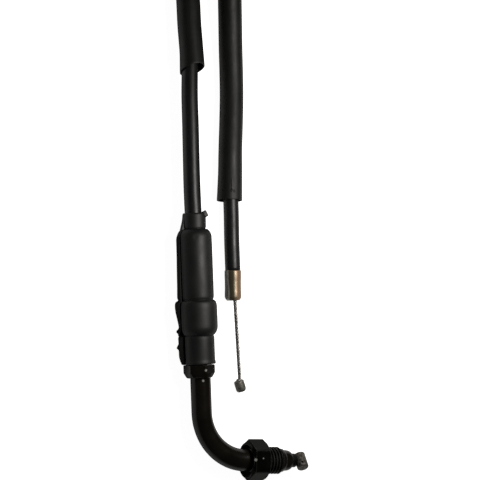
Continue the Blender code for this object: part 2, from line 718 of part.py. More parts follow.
def liner_tip():
    """The plastic bush in the pipe's end, whose tip shows past the pilot and guides the wire."""
    bore = WIRE_D / 2 + TIP_SLACK
    profile = [
        (TIP_D / 2, TIP_START),
        (TIP_D / 2, TIP_END - TIP_CHAMFER),
        (TIP_D / 2 - TIP_CHAMFER, TIP_END),
        (bore, TIP_END),
        (bore, TIP_START),
    ]
    turned("pipe_liner", profile, tip_plastic, outlet, steps=16)


def throttle_wire():
    """The wire's throttle end, straight through the liner, and the cast barrel nipple across its end."""
    tail = Vector((0, 0, -WIRE_TAIL))
    end = Vector((0, 0, NIPPLE_STATION + NIPPLE_D * 0.2))
    tube("throttle_wire", [tail, end], WIRE_D, steel, outlet)
    bm = bmesh.new()
    lie = Matrix.Translation((0, 0, NIPPLE_STATION)) @ Matrix.Rotation(NIPPLE_TWIST, 4, "Z")
    cross = Matrix.Rotation(math.pi / 2, 4, "Y")
    bmesh.ops.create_cone(
        bm,
        cap_ends=True,
        segments=ROUND_STEPS,
        radius1=NIPPLE_D / 2,
        radius2=NIPPLE_D / 2,
        depth=NIPPLE_LENGTH,
        matrix=lie @ cross,
    )
    nipple = put("throttle_nipple", mesh_from(bm, "throttle_nipple"), cast_zinc, outlet)
    hole = WIRE_D + 2 * FIT_GAP
    bit = drill(nipple, hole, NIPPLE_D * 2, outlet, "throttle_nipple.hole")
    bit.location = (0, 0, NIPPLE_STATION)


def bend_wire():
    """The stretch of the wire inside the pipe's bend."""
    stop = 1 - (WIRE_TAIL + WIRE_BREAK) / (PIPE_BEND_R * PIPE_BEND_ANGLE)
    points = [Vector((0, -CORE_FOOT - WIRE_JOIN, AXIS_Z))]
    for i in range(7):
        a = PIPE_BEND_ANGLE * stop * i / 6
        points.append(
            Vector((PIPE_BEND_R * (1 - math.cos(a)), -PIPE_BEND_START - PIPE_BEND_R * math.sin(a), AXIS_Z))
        )
    tube("bend_wire", points, WIRE_D, steel, assembly, resolution=1)


def carb_end():
    """The brass ferrule, the bare wire that leaves it a little askew, and the drum nipple on its end."""
    socket = ARMOUR_D / 2 + FIT_GAP
    r = FERRULE_D / 2
    hole = FERRULE_HOLE / 2
    crimp_top = -FERRULE_CRIMP_START - FERRULE_CRIMP_LENGTH
    profile = [
        (r, -FERRULE_LENGTH),
        (r, crimp_top),
        (r - FERRULE_CRIMP_DEPTH, crimp_top + FERRULE_CRIMP_LENGTH * 0.3),
        (r - FERRULE_CRIMP_DEPTH, crimp_top + FERRULE_CRIMP_LENGTH * 0.7),
        (r, -FERRULE_CRIMP_START),
        (r, -FERRULE_END_BEVEL),
        (r - FERRULE_END_BEVEL, 0),
        (hole, 0),
        (hole, -FERRULE_END_WALL),
        (socket, -FERRULE_END_WALL),
        (socket, -FERRULE_LENGTH),
    ]
    turned("carb_ferrule", profile, brass, ferrule_axis)
    end = BARE_WIRE + CARB_NIPPLE_LENGTH
    ends = [Vector((0, 0, -CARB_WIRE_TAIL)), Vector((0, 0, end - CARB_WIRE_SUNK))]
    tube("carb_wire", ends, WIRE_D, steel, carb_axis)
    r = CARB_NIPPLE_D / 2
    bore = WIRE_D / 2 + FIT_GAP
    profile = [
        (r - CARB_NIPPLE_BEVEL, BARE_WIRE),
        (r, BARE_WIRE + CARB_NIPPLE_BEVEL),
        (r, end - CARB_NIPPLE_BEVEL),
        (r - CARB_NIPPLE_BEVEL, end),
        (bore, end),
        (bore, BARE_WIRE),
    ]
    turned("carb_nipple", profile, cast_zinc, carb_axis, steps=16)


def cable():
    """The sheathed cable: wire, liner, armour and jacket on one centre line, and the slack outer sleeve."""
    turns = coil_points()
    to_coil = smooth_route([CABLE_START] + THROTTLE_ROUTE + [turns[0]], ROUTE_STEP)
    from_coil = smooth_route([turns[-1]] + CARB_ROUTE, ROUTE_STEP)
    line = to_coil[:-1] + turns + from_coil[1:]
    length = line_length(line)
    coil_from = line_length(to_coil) - COIL_END_STRAIGHT
    coil_to = line_length(to_coil) + line_length(turns) + COIL_END_STRAIGHT

    armour = stretch(line, CAP_END_WALL + FIT_GAP, length - FERRULE_END_WALL - FIT_GAP)
    tube("conduit_armour", armour, ARMOUR_D, steel, assembly, ARMOUR_WALL, resolution=1)
    jacket = stretch(line, CAP_LENGTH + FIT_GAP, length - FERRULE_LENGTH - FIT_GAP)
    tube("conduit_jacket", jacket, JACKET_D, jacket_vinyl, assembly, JACKET_WALL, resolution=1)
    liner = stretch(line, CAP_END_WALL + FIT_GAP, length - LINER_SHORT)
    tube("conduit_liner", liner, LINER_D, liner_plastic, assembly, LINER_WALL, resolution=1)
    core = [Vector((0, -CORE_FOOT, AXIS_Z))] + stretch(line, 0, length - LINER_SHORT)
    tube("core_wire", core, WIRE_D, steel, assembly, resolution=0)

    mouth_in = CAP_FOOT + THROTTLE_MOUTH
    mouth_out = length - CARB_MOUTH

    def sleeve(name, start, end):
        points = []
        run = start
        span = stretch(line, start, end)
        for i, p in enumerate(span):
            run += (p - span[i - 1]).length if i else 0.0
            near_in = 1 - ease(run, mouth_in, mouth_in + MOUTH_SHIFT_LENGTH)
            near_out = ease(run, mouth_out - MOUTH_SHIFT_LENGTH, mouth_out)
            points.append(p + Vector(THROTTLE_MOUTH_SHIFT) * near_in + Vector(CARB_MOUTH_SHIFT) * near_out)
        tube(name, points, SLEEVE_D, sleeve_vinyl, assembly, SLEEVE_WALL, resolution=1)

    sleeve("sleeve_throttle_run", mouth_in, coil_from - FIT_GAP / 2)
    sleeve("sleeve_coil", coil_from + FIT_GAP / 2, coil_to - FIT_GAP / 2)
    sleeve("sleeve_carb_run", coil_to + FIT_GAP / 2, mouth_out)
    sleeved = stretch(line, mouth_in, mouth_out)
    print(f"cable length {length * 1000:.1f} mm")
    print(f"least gap of the sleeve to itself {least_gap(sleeved, SLEEVE_D) * 1000:.2f} mm")


def coil_tie():
    """The plastic tie round both turns of the coil, lying under and over them."""
    middle = (COIL_OUTER_R + COIL_INNER_R) / 2 * math.cos(math.radians(COIL_STEP / 2))
    half_across = (COIL_OUTER_R - COIL_INNER_R + SLEEVE_D) / 2 + FIT_GAP
    half_high = SLEEVE_D / 2 + FIT_GAP
    angle = math.radians(TIE_ANGLE)
    centre = Vector(
        (
            COIL_CENTRE[0] + middle * math.cos(angle),
            COIL_CENTRE[1] + middle * math.sin(angle),
            COIL_Z + TIE_WALL + FIT_GAP,
        )
    )
    place = Matrix.Translation(centre) @ Matrix.Rotation(angle, 4, "Z")
    bm = bmesh.new()
    loops = []
    for grow, side in ((0, -1), (0, 1), (TIE_WALL, 1), (TIE_WALL, -1)):
        corners = []
        for sx, sz in ((1, 1), (-1, 1), (-1, -1), (1, -1)):
            for k in range(4):
                a = math.atan2(sz, sx) + math.radians(-45 + 30 * k)
                x = sx * (half_across - TIE_CORNER_R) + (TIE_CORNER_R + grow) * math.cos(a)
                z = sz * (half_high - TIE_CORNER_R) + (TIE_CORNER_R + grow) * math.sin(a)
                corners.append(bm.verts.new(place @ Vector((x, side * TIE_WIDTH / 2, z))))
        loops.append(corners)
    for a, b in zip(loops, loops[1:] + loops[:1]):
        for i in range(len(a)):
            bm.faces.new((a[i - 1], a[i], b[i], b[i - 1]))
    put("coil_tie", mesh_from(bm, "coil_tie"), tie_plastic, assembly)


OWN_PIECES = (
    "adjuster_boot",
    "conduit_end_cap",
    "adjuster_barrel",
    "lock_nut",
    "adjuster_stud",
    "elbow_pipe",
    "swivel_nut",
    "pipe_liner",
    "throttle_nipple",
)


def stand_on_origin():
    """Shift the assembly so that the throttle end's own pieces stand on the floor, centred over the origin."""
    bpy.context.view_layer.update()
    graph = bpy.context.evaluated_depsgraph_get()
    corners = []
    for name in OWN_PIECES:
        seen = bpy.data.objects[name].evaluated_get(graph)
        corners += [seen.matrix_world @ v.co for v in seen.to_mesh().vertices]
    for axis in range(2):
        values = [c[axis] for c in corners]
        assembly.location[axis] = -(min(values) + max(values)) / 2
    assembly.location.z = -min(c.z for c in corners)


boot()
end_cap()
adjuster_barrel()
lock_nut()
adjuster_stud()
elbow_pipe()
swivel_nut()
liner_tip()
throttle_wire()
bend_wire()
carb_end()
cable()
coil_tie()
stand_on_origin()
bpy.context.view_layer.update()
for frame in (adjuster, outlet, carb_axis):
    place = frame.matrix_world.translation
    along = frame.matrix_world.to_3x3() @ Vector((0, 0, 1))
    print(frame.name, [round(v, 6) for v in place], [round(v, 6) for v in along])
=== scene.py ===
"""Looks of the motorcycle throttle cable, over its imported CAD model. Metres, +Z up, floor at z = 0."""

import json
import math

import bmesh
import bpy
from mathutils import Matrix, Vector, noise

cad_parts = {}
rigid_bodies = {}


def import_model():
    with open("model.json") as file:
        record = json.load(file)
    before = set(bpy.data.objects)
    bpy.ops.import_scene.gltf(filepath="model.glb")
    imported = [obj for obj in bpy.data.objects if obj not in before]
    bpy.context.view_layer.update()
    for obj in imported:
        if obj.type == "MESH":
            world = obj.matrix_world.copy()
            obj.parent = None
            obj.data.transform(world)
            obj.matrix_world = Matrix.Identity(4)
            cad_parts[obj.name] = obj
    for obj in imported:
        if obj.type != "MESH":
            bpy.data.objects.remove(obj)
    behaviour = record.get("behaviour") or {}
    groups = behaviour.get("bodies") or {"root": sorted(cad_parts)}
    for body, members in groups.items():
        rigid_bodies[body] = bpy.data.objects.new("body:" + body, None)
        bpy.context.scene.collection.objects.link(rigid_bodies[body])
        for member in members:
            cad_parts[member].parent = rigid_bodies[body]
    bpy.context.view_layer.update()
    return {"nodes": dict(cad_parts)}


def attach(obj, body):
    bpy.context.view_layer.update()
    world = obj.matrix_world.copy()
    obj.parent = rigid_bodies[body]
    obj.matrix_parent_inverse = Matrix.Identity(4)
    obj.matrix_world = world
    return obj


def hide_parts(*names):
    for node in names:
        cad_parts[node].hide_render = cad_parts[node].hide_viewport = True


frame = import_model()

# Camera: a long lens high on the boot's side, 27 degrees from straight down and turned a little, as the
# photo was taken. The boot runs down the picture and the bent pipe's outlet points to the right.
CAMERA_PLACE = (-0.411255, 0.039778, 0.81689)
CAMERA_TILT = math.radians(27)
CAMERA_ROLL = math.radians(2.1)
CAMERA_LENS = 182.25  # mm on a 36 mm sensor
camera = bpy.data.objects.new("camera", bpy.data.cameras.new("camera"))
camera.data.lens = CAMERA_LENS
camera.matrix_world = (
    Matrix.Translation(CAMERA_PLACE)
    @ Matrix.Rotation(-CAMERA_TILT, 4, "Y")
    @ Matrix.Rotation(-CAMERA_ROLL, 4, "Z")
)
bpy.context.scene.collection.objects.link(camera)
bpy.context.scene.camera = camera
bpy.context.scene.view_settings.view_transform = "Standard"

# Studio: a white table under one soft lamp, close above the cable on its right, and dark surroundings with a
# little fill. The table glows white to the camera and weakly in reflections, less so near what lies on it.
TABLE_HALF = 4.0
TABLE_DROP = 0.0001
TABLE_WHITE = 0.8
TABLE_GLOW = 0.96  # to the camera
TABLE_GLEAM = 0.30  # in reflections
CONTACT_REACH = 0.035  # how near a piece dims the table's gleam
CONTACT_DEPTH = 4.0
LAMP_PLACE = (0.0340, 0.050, 0.150)
LAMP_AIM = (-0.012, 0.050, 0.010)
LAMP_SIZE = (0.052, 0.050)
LAMP_POWER = 0.19
LAMP_COLOUR = (1.0, 0.97, 0.93)
FILL = 0.05
bm = bmesh.new()
bmesh.ops.create_grid(bm, x_segments=1, y_segments=1, size=TABLE_HALF)
bmesh.ops.translate(bm, verts=bm.verts[:], vec=(0, 0, -TABLE_DROP))
table_mesh = bpy.data.meshes.new("table")
bm.to_mesh(table_mesh)
bm.free()
table = bpy.data.objects.new("table", table_mesh)
bpy.context.scene.collection.objects.link(table)
table_white = bpy.data.materials.new("table_white")
table_white.use_nodes = True
table_nodes, table_links = table_white.node_tree.nodes, table_white.node_tree.links
table_nodes.remove(table_nodes["Principled BSDF"])
matte = table_nodes.new("ShaderNodeBsdfDiffuse")
matte.inputs["Color"].default_value = (TABLE_WHITE, TABLE_WHITE, TABLE_WHITE, 1)
glow = table_nodes.new("ShaderNodeEmission")
rays = table_nodes.new("ShaderNodeLightPath")
contact = table_nodes.new("ShaderNodeAmbientOcclusion")
contact.inputs["Distance"].default_value = CONTACT_REACH


def combined(mat, operation, *terms, node_type="ShaderNodeMath"):
    """The value of a Math node on sockets or plain numbers."""
    node = mat.node_tree.nodes.new(node_type)
    node.operation = operation
    for socket, term in zip(node.inputs, terms):
        if isinstance(term, bpy.types.NodeSocket):
            mat.node_tree.links.new(term, socket)
        else:
            socket.default_value = term
    return node.outputs["Value"]


seen = combined(table_white, "MAXIMUM", rays.outputs["Is Camera Ray"], rays.outputs["Is Transmission Ray"])
open_sky = combined(table_white, "POWER", contact.outputs["AO"], CONTACT_DEPTH)
mirrored = combined(table_white, "MULTIPLY", rays.outputs["Is Glossy Ray"], open_sky)
seen_glow = combined(table_white, "MULTIPLY", seen, TABLE_GLOW)
mirrored_glow = combined(table_white, "MULTIPLY", mirrored, TABLE_GLEAM)
table_links.new(combined(table_white, "MAXIMUM", seen_glow, mirrored_glow), glow.inputs["Strength"])
both = table_nodes.new("ShaderNodeAddShader")
table_links.new(matte.outputs[0], both.inputs[0])
table_links.new(glow.outputs[0], both.inputs[1])
table_links.new(both.outputs[0], table_nodes["Material Output"].inputs["Surface"])
table_mesh.materials.append(table_white)
lamp = bpy.data.objects.new("lamp", bpy.data.lights.new("lamp", "AREA"))
lamp.data.shape = "RECTANGLE"
lamp.data.size, lamp.data.size_y = LAMP_SIZE
lamp.data.energy = LAMP_POWER
lamp.data.color = LAMP_COLOUR
lamp.location = LAMP_PLACE
lamp.rotation_euler = (Vector(LAMP_PLACE) - Vector(LAMP_AIM)).to_track_quat("Z", "Y").to_euler()
bpy.context.scene.collection.objects.link(lamp)
surroundings = bpy.data.worlds.new("surroundings")
surroundings.use_nodes = True
surroundings.node_tree.nodes["Background"].inputs["Color"].default_value = (FILL, FILL, FILL, 1)
bpy.context.scene.world = surroundings


# Ferrule at the carburettor end: a turned brass cap pressed over the cable's stripped armour, with a
# chamfered end that the wire leaves through. Its colour is painted reflection and shade, in bands across it
# as
# the camera sees it: a grey streak for the table's reflection, dark bands beside it, and brass lighter
# towards the lamp.
def finish(name, metallic=0.0, sheen=0.5):
    """A Principled material, ready for its patterns; the sheen is how strongly its surface mirrors."""
    mat = bpy.data.materials.new(name)
    mat.use_nodes = True
    shader = mat.node_tree.nodes["Principled BSDF"]
    shader.inputs["Metallic"].default_value = metallic
    shader.inputs["Specular IOR Level"].default_value = sheen
    return mat


def feed(mat, output, socket):
    """Links an output to one of the shader's sockets."""
    mat.node_tree.links.new(output, mat.node_tree.nodes["Principled BSDF"].inputs[socket])


def measured(mat, operation, *terms):
    """The value of a Vector Math node on sockets or plain vectors."""
    return combined(mat, operation, *terms, node_type="ShaderNodeVectorMath")


def mapped(mat, centre, stretch):
    """Object coordinates from a centre, drawn out along each axis by the stretch."""
    mapping = mat.node_tree.nodes.new("ShaderNodeMapping")
    mapping.inputs["Location"].default_value = [-c / s for c, s in zip(centre, stretch)]
    mapping.inputs["Scale"].default_value = [1 / s for s in stretch]
    coordinates = mat.node_tree.nodes.new("ShaderNodeTexCoord")
    mat.node_tree.links.new(coordinates.outputs["Object"], mapping.inputs["Vector"])
    return mapping.outputs["Vector"]


def grain(mat, size, stretch=(1, 1, 1), detail=3.0):
    """Noise with patches of about that size, drawn out along each axis by the stretch."""
    texture = mat.node_tree.nodes.new("ShaderNodeTexNoise")
    texture.inputs["Scale"].default_value = 1 / size
    texture.inputs["Detail"].default_value = detail
    mat.node_tree.links.new(mapped(mat, (0, 0, 0), stretch), texture.inputs["Vector"])
    return texture.outputs["Fac"]


def spread(mat, value, start, end, low=0.0, high=1.0):
    """The value taken from the range start to end on to the range low to high."""
    node = mat.node_tree.nodes.new("ShaderNodeMapRange")
    for name, limit in zip(("From Min", "From Max", "To Min", "To Max"), (start, end, low, high)):
        node.inputs[name].default_value = limit
    mat.node_tree.links.new(value, node.inputs["Value"])
    return node.outputs["Result"]


def colours(mat, pattern, stops):
    """Base colour through the stops, each a pattern's value with a colour."""
    ramp = mat.node_tree.nodes.new("ShaderNodeValToRGB")
    for _ in stops[2:]:
        ramp.color_ramp.elements.new(1.0)
    for element, (position, colour) in zip(ramp.color_ramp.elements, stops):
        element.position = position
        element.color = (*colour, 1)
    mat.node_tree.links.new(pattern, ramp.inputs["Fac"])
    feed(mat, ramp.outputs["Color"], "Base Color")


TINT_RANGE = (0.35, 0.65)  # of a pattern's values, which mostly lie near a half
POLISH_RANGE = (0.3, 0.7)


def tint(mat, pattern, dark, light):
    """Base colour that runs from dark to light with the pattern."""
    colours(mat, pattern, list(zip(TINT_RANGE, (dark, light))))


def polish(mat, pattern, smooth, rough):
    """Roughness that runs from smooth to rough with the pattern."""
    feed(mat, spread(mat, pattern, *POLISH_RANGE, smooth, rough), "Roughness")


def relief(mat, pattern, depth):
    """Bump of that depth in metres, on top of any that the material already has."""
    shader = mat.node_tree.nodes["Principled BSDF"]
    bump = mat.node_tree.nodes.new("ShaderNodeBump")
    bump.inputs["Strength"].default_value = 1.0
    bump.inputs["Distance"].default_value = depth
    mat.node_tree.links.new(pattern, bump.inputs["Height"])
    for link in shader.inputs["Normal"].links:
        mat.node_tree.links.new(link.from_socket, bump.inputs["Normal"])
    feed(mat, bump.outputs["Normal"], "Normal")


def cover(mat, share, colour):
    """Lays a colour over the base colour, by a share from 0 to 1."""
    nodes, links = mat.node_tree.nodes, mat.node_tree.links
    mix = nodes.new("ShaderNodeMix")
    mix.data_type = "RGBA"
    mix.inputs["B"].default_value = (*colour, 1)
    links.new(share, mix.inputs["Factor"])
    links.new(nodes["Principled BSDF"].inputs["Base Color"].links[0].from_socket, mix.inputs["A"])
    feed(mat, mix.outputs["Result"], "Base Color")


WEAR_REACH = 0.0003
WEAR_RANGE = (0.995, 0.93)  # cosine between the rounded normal and the true one, at no wear and at full wear


def wear(mat, pattern, overlay_colour):
    """Bare metal along the edges, where a rounded normal leaves the true one, broken up by the pattern."""
    nodes = mat.node_tree.nodes
    rounded = nodes.new("ShaderNodeBevel")
    rounded.samples = 4
    rounded.inputs["Radius"].default_value = WEAR_REACH
    surface = nodes.new("ShaderNodeNewGeometry")
    alike = measured(mat, "DOT_PRODUCT", rounded.outputs["Normal"], surface.outputs["Normal"])
    chips = combined(mat, "MULTIPLY", spread(mat, alike, *WEAR_RANGE), pattern)
    cover(mat, chips, overlay_colour)
    if not nodes["Principled BSDF"].inputs["Metallic"].default_value:
        feed(mat, chips, "Metallic")


def axis_place(origin, direction):
    """Place of a piece whose own Z runs along the direction and whose own Y looks up."""
    along = Vector(direction).normalized()
    up = Vector((0, 0, 1))
    turn = Matrix((up.cross(along), up, along)).transposed()
    return Matrix.Translation(origin) @ turn.to_4x4()


def outline(bm, points, closed=True):
    """A chain of edges in the XZ plane from (radius, station, rounding) points, its corners rounded."""
    verts = [bm.verts.new((r, 0, z)) for r, z, _ in points]
    pairs = list(zip(verts, verts[1:])) + [(verts[-1], verts[0])] * closed
    edges = [bm.edges.new(pair) for pair in pairs]
    others = set(bm.verts) - set(verts)
    for vert, (_, _, rounding) in zip(verts, points):
        if rounding:
            bmesh.ops.bevel(
                bm,
                geom=[vert],
                offset=rounding,
                offset_type="OFFSET",
                segments=4,
                profile=0.5,
                affect="VERTICES",
                material=-1,
            )
    verts = [v for v in bm.verts if v not in others]
    return verts, list({e for v in verts for e in v.link_edges if e.is_wire})


def spun(bm, geom, angle, steps, rise=0.0, use_merge=False):
    """Spins the geometry round Z, with a rise at each step, and returns what it comes to last."""
    return bmesh.ops.spin(
        bm,
        geom=geom,
        cent=(0, 0, 0),
        axis=(0, 0, 1),
        dvec=(0, 0, rise),
        angle=angle,
        steps=steps,
        use_merge=use_merge,
    )["geom_last"]


def turned(bm, points, steps=64, closed=True):
    """Spins an outline once round Z, as on a lathe."""
    verts, edges = outline(bm, points, closed)
    spun(bm, verts + edges, math.tau, steps, use_merge=True)


def add_piece(name, bm, mat, body, place=None, sharp=32):
    """The finished bmesh as an object at the origin, its place in its mesh, that rides on its body."""
    if place is not None:
        bmesh.ops.transform(bm, matrix=place, verts=bm.verts[:])
    bmesh.ops.recalc_face_normals(bm, faces=bm.faces[:])
    mesh = bpy.data.meshes.new(name)
    bm.to_mesh(mesh)
    bm.free()
    mesh.shade_smooth()
    mesh.set_sharp_from_angle(angle=math.radians(sharp))
    mesh.materials.append(mat)
    obj = bpy.data.objects.new(name, mesh)
    bpy.context.scene.collection.objects.link(obj)
    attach(obj, body)
    return obj


FERRULE_END = (-0.00078, 0.017208, 0.0038)
FERRULE_DIRECTION = (-0.03, -1, 0)
FERRULE_LENGTH = 0.0113
FERRULE_R = 0.00312
FERRULE_SOCKET_R = 0.0023
FERRULE_HOLE_R = 0.0015
FERRULE_END_WALL = 0.0020
FERRULE_CHAMFER = (0.0008, 0.0010)  # across and along
FERRULE_SQUEEZE = 0.00007
FERRULE_WAIST = (0.0040, 0.0075)  # stretch that is squeezed, from the end
FERRULE_WAIST_RUN = 0.0010
FERRULE_WAIST_ROUNDING = 0.0006
PAINTED_BANDS_ACROSS = Vector((0.891, 0, 0.454))  # the camera's rightward way, along which the painted bands of reflection and shade follow each other
PAINTED_REFLECTION_BANDS = [
    (0.00, (0.06, 0.055, 0.05)),
    (0.15, (0.10, 0.095, 0.085)),
    (0.23, (0.52, 0.50, 0.45)),
    (0.32, (0.07, 0.06, 0.04)),
    (0.55, (0.07, 0.06, 0.03)),
    (0.63, (0.20, 0.165, 0.105)),
    (0.78, (0.30, 0.20, 0.125)),
]  # across the ferrule as the camera sees it, left to right: painted shade, a painted reflection of the table, painted shade, then brass that is lighter towards the lamp as painted light
PAINTED_BANDS_RAGGED = 0.16


def bands(mat, centre, direction, reach, stops, pattern, ragged):
    """Base colour in bands along a direction across the piece, their edges made ragged by the pattern."""
    across = measured(mat, "DOT_PRODUCT", mapped(mat, centre, (1, 1, 1)), direction)
    share = spread(mat, across, -reach, reach, -ragged / 2, 1 - ragged / 2)
    colours(mat, combined(mat, "MULTIPLY_ADD", pattern, ragged, share), stops)


brass = finish("dull_brass", metallic=0.35)
brass_rings = grain(brass, 0.0006, (4, 0.25, 4))
brass_band_and_wear_noise = grain(brass, 0.0016, (1, 3, 1))
# Painted reflection and shade, in bands across the ferrule as the camera sees it.
bands(brass, FERRULE_END, PAINTED_BANDS_ACROSS, FERRULE_R, PAINTED_REFLECTION_BANDS, brass_band_and_wear_noise, PAINTED_BANDS_RAGGED)
polish(brass, brass_rings, 0.30, 0.42)
relief(brass, brass_rings, 0.00001)
wear(brass, brass_band_and_wear_noise, (0.60, 0.50, 0.36))
waist_r = FERRULE_R - FERRULE_SQUEEZE
waist_start, waist_end = FERRULE_WAIST
bm = bmesh.new()
turned(
    bm,
    [
        (FERRULE_R, -FERRULE_LENGTH, 0.0003),
        (FERRULE_R, -waist_end - FERRULE_WAIST_RUN, FERRULE_WAIST_ROUNDING),
        (waist_r, -waist_end, FERRULE_WAIST_ROUNDING),
        (waist_r, -waist_start, FERRULE_WAIST_ROUNDING),
        (FERRULE_R, -waist_start + FERRULE_WAIST_RUN, FERRULE_WAIST_ROUNDING),
        (FERRULE_R, -FERRULE_CHAMFER[1], 0.0005),
        (FERRULE_R - FERRULE_CHAMFER[0], 0, 0.0002),
        (FERRULE_HOLE_R, 0, 0.0002),
        (FERRULE_HOLE_R, -FERRULE_END_WALL, 0),
        (FERRULE_SOCKET_R, -FERRULE_END_WALL, 0),
        (FERRULE_SOCKET_R, -FERRULE_LENGTH, 0.0001),
    ],
)
ferrule_place = axis_place(FERRULE_END, FERRULE_DIRECTION)
ferrule = add_piece("ferrule", bm, brass, "cable", ferrule_place)
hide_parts("carb_ferrule")

# Bare wire at the carburettor end: six steel strands laid round a seventh, 1.4 mm over all. It leaves the
# ferrule a little askew and is drawn in and out of it by the throttle.
STRANDS_ROUND = 6
STRAND_R = 0.00023
STRAND_SPACING = 2.04  # of a strand's radius, so that strands just don't touch
STRAND_SIDES = 8
STRAND_PITCH = 0.0075
ROPE_STEP = 0.0005


def rope(bm, start, end):
    """Six strands laid round a straight one along Z, between two stations."""
    length = end - start
    steps = round(length / ROPE_STEP)
    for i in range(STRANDS_ROUND + 1):
        out = STRAND_SPACING * STRAND_R if i else 0.0
        place = Matrix.Rotation(math.tau * i / STRANDS_ROUND, 4, "Z") @ Matrix.Translation((out, 0, start))
        ring = bmesh.ops.create_circle(
            bm, cap_ends=True, segments=STRAND_SIDES, radius=STRAND_R, matrix=place
        )["verts"]
        cap = {f for v in ring for f in v.link_faces}
        disc = ring + list(cap) + list({e for f in cap for e in f.edges})
        spun(bm, disc, math.tau * length / STRAND_PITCH, steps, rise=length / steps)


CARB_WIRE_EXIT = (-0.000035, 0.017208, 0.0038)
CARB_WIRE_DIRECTION = (0.027922, -0.99961, 0.0)
CARB_WIRE_TAIL = 0.004
BARE_WIRE = 0.030
CARB_NIPPLE_LENGTH = 0.0044
WIRE_SUNK = 0.0004
steel = finish("strand_steel", metallic=1.0)
steel_stain = grain(steel, 0.0012)
tint(steel, steel_stain, (0.26, 0.25, 0.24), (0.52, 0.51, 0.50))
polish(steel, steel_stain, 0.28, 0.45)
bm = bmesh.new()
rope(bm, -CARB_WIRE_TAIL, BARE_WIRE + CARB_NIPPLE_LENGTH - WIRE_SUNK)
carb_wire_place = axis_place(CARB_WIRE_EXIT, CARB_WIRE_DIRECTION)
carb_wire = add_piece("carb_strands", bm, steel, "carb_wire", carb_wire_place, sharp=50)
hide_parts("carb_wire")

# Drum nipple on that wire's end: zinc, cast round the strands, with a dull skin, rounded edges and a drop of
# solder where the wire goes in. It sits a little askew on the wire.
CARB_NIPPLE_R = 0.0019
CARB_NIPPLE_BORE_R = 0.0009
CARB_NIPPLE_TILT = math.radians(15)
SOLDER_R = 0.0010
SOLDER_TIP_R = 0.00065
SOLDER_BORE_R = 0.00062
SOLDER_HEIGHT = 0.0007
SOLDER_SHOULDER = 0.00007
SOLDER_SUNK = 0.0003
zinc = finish("cast_zinc", metallic=0.6)
zinc_skin = grain(zinc, 0.0011, detail=5.0)
zinc_pits = grain(zinc, 0.00035)
tint(zinc, zinc_skin, (0.10, 0.095, 0.078), (0.24, 0.235, 0.21))
polish(zinc, zinc_pits, 0.36, 0.60)
relief(zinc, zinc_skin, 0.00012)
relief(zinc, zinc_pits, 0.00003)
wear(zinc, zinc_skin, (0.45, 0.44, 0.43))
bm = bmesh.new()
turned(
    bm,
    [
        (CARB_NIPPLE_R, 0, 0.0006),
        (CARB_NIPPLE_R, CARB_NIPPLE_LENGTH, 0.0012),
        (CARB_NIPPLE_BORE_R, CARB_NIPPLE_LENGTH, 0.0001),
        (CARB_NIPPLE_BORE_R, 0, 0.0001),
    ],
    steps=40,
)
turned(
    bm,
    [
        (SOLDER_R, SOLDER_SUNK, 0),
        (SOLDER_R, -SOLDER_SHOULDER, 0.0003),
        (SOLDER_TIP_R, -SOLDER_HEIGHT, 0.0002),
        (SOLDER_BORE_R, SOLDER_SUNK, 0),
    ],
    steps=24,
)
middle = Matrix.Translation((0, 0, CARB_NIPPLE_LENGTH / 2))
askew = middle @ Matrix.Rotation(CARB_NIPPLE_TILT, 4, "Y") @ middle.inverted()
bmesh.ops.transform(bm, matrix=Matrix.Translation((0, 0, BARE_WIRE)) @ askew, verts=bm.verts[:])
carb_nipple = add_piece("carb_drum_nipple", bm, zinc, "carb_wire", carb_wire_place)
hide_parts("carb_nipple")

# The cable: wire, liner and armour inside a black vinyl jacket, 5.8 mm over all and thicker by the boot. It
# runs up from the adjuster, goes once and three quarters round in the coil that puts its length away, and
# comes back to the ferrule.
BOOT_TOP = Vector((-0.017735, 0.050408, 0.0))
AXIS_Z = 0.007419
CABLE_D = 0.0058
CABLE_WALL = 0.0006
CABLE_SIDES = 20
KNOT_STEPS = 5  # along the curve from knot to knot
CABLE_SWELL = (1.11, 1.10, 1.085, 1.08, 1.07, 1.06, 1.03)  # thicker towards the boot
CABLE_START = (0.0, -0.0083, AXIS_Z)
CABLE_END = (0.0173, -0.0221, 0.0038)
THROTTLE_ROUTE = [
    (-0.0002, 0.0080, AXIS_Z),
    (-0.0001, 0.0200, AXIS_Z),
    (0.0001, 0.0320, AXIS_Z),
    (0.0002, 0.0430, AXIS_Z),
    (0.0006, 0.0520, AXIS_Z),
    (0.0010, 0.0600, AXIS_Z),
    (0.0012, 0.0700, 0.0073),
    (0.0012, 0.0800, 0.0070),
    (0.0010, 0.0909, 0.0062),
    (0.0002, 0.0986, 0.0055),
    (-0.0023, 0.1060, 0.0050),
    (-0.0064, 0.1128, 0.0046),
    (-0.0137, 0.1223, 0.0044),
    (-0.0210, 0.1318, 0.0044),
]
CARB_ROUTE = [
    (0.0317, 0.1374, 0.0135),
    (0.0244, 0.1279, 0.0135),
    (0.0203, 0.1211, 0.0135),
    (0.0178, 0.1137, 0.0134),
    (0.0170, 0.1060, 0.0130),
    (0.0169, 0.0970, 0.0119),
    (0.0171, 0.0880, 0.0104),
    (0.0177, 0.0790, 0.0087),
    (0.0183, 0.0700, 0.0071),
    (0.0188, 0.0610, 0.0057),
    (0.0191, 0.0520, 0.0048),
    (0.0191, 0.0430, 0.0044),
    (0.0186, 0.0330, 0.0044),
    (0.0180, 0.0230, 0.0044),
    (0.0178, 0.0140, 0.0041),
    (0.0176, 0.0060, 0.0038),
    (0.0175, -0.0020, 0.0038),
    (0.0173, -0.0120, 0.0038),
]
COIL_CENTRE = (0.0090, 0.1699)
COIL_OUTER_R = 0.0470
COIL_INNER_R = 0.0378
COIL_Z = 0.0045
COIL_HOP = 0.0092  # the way out over the first turn
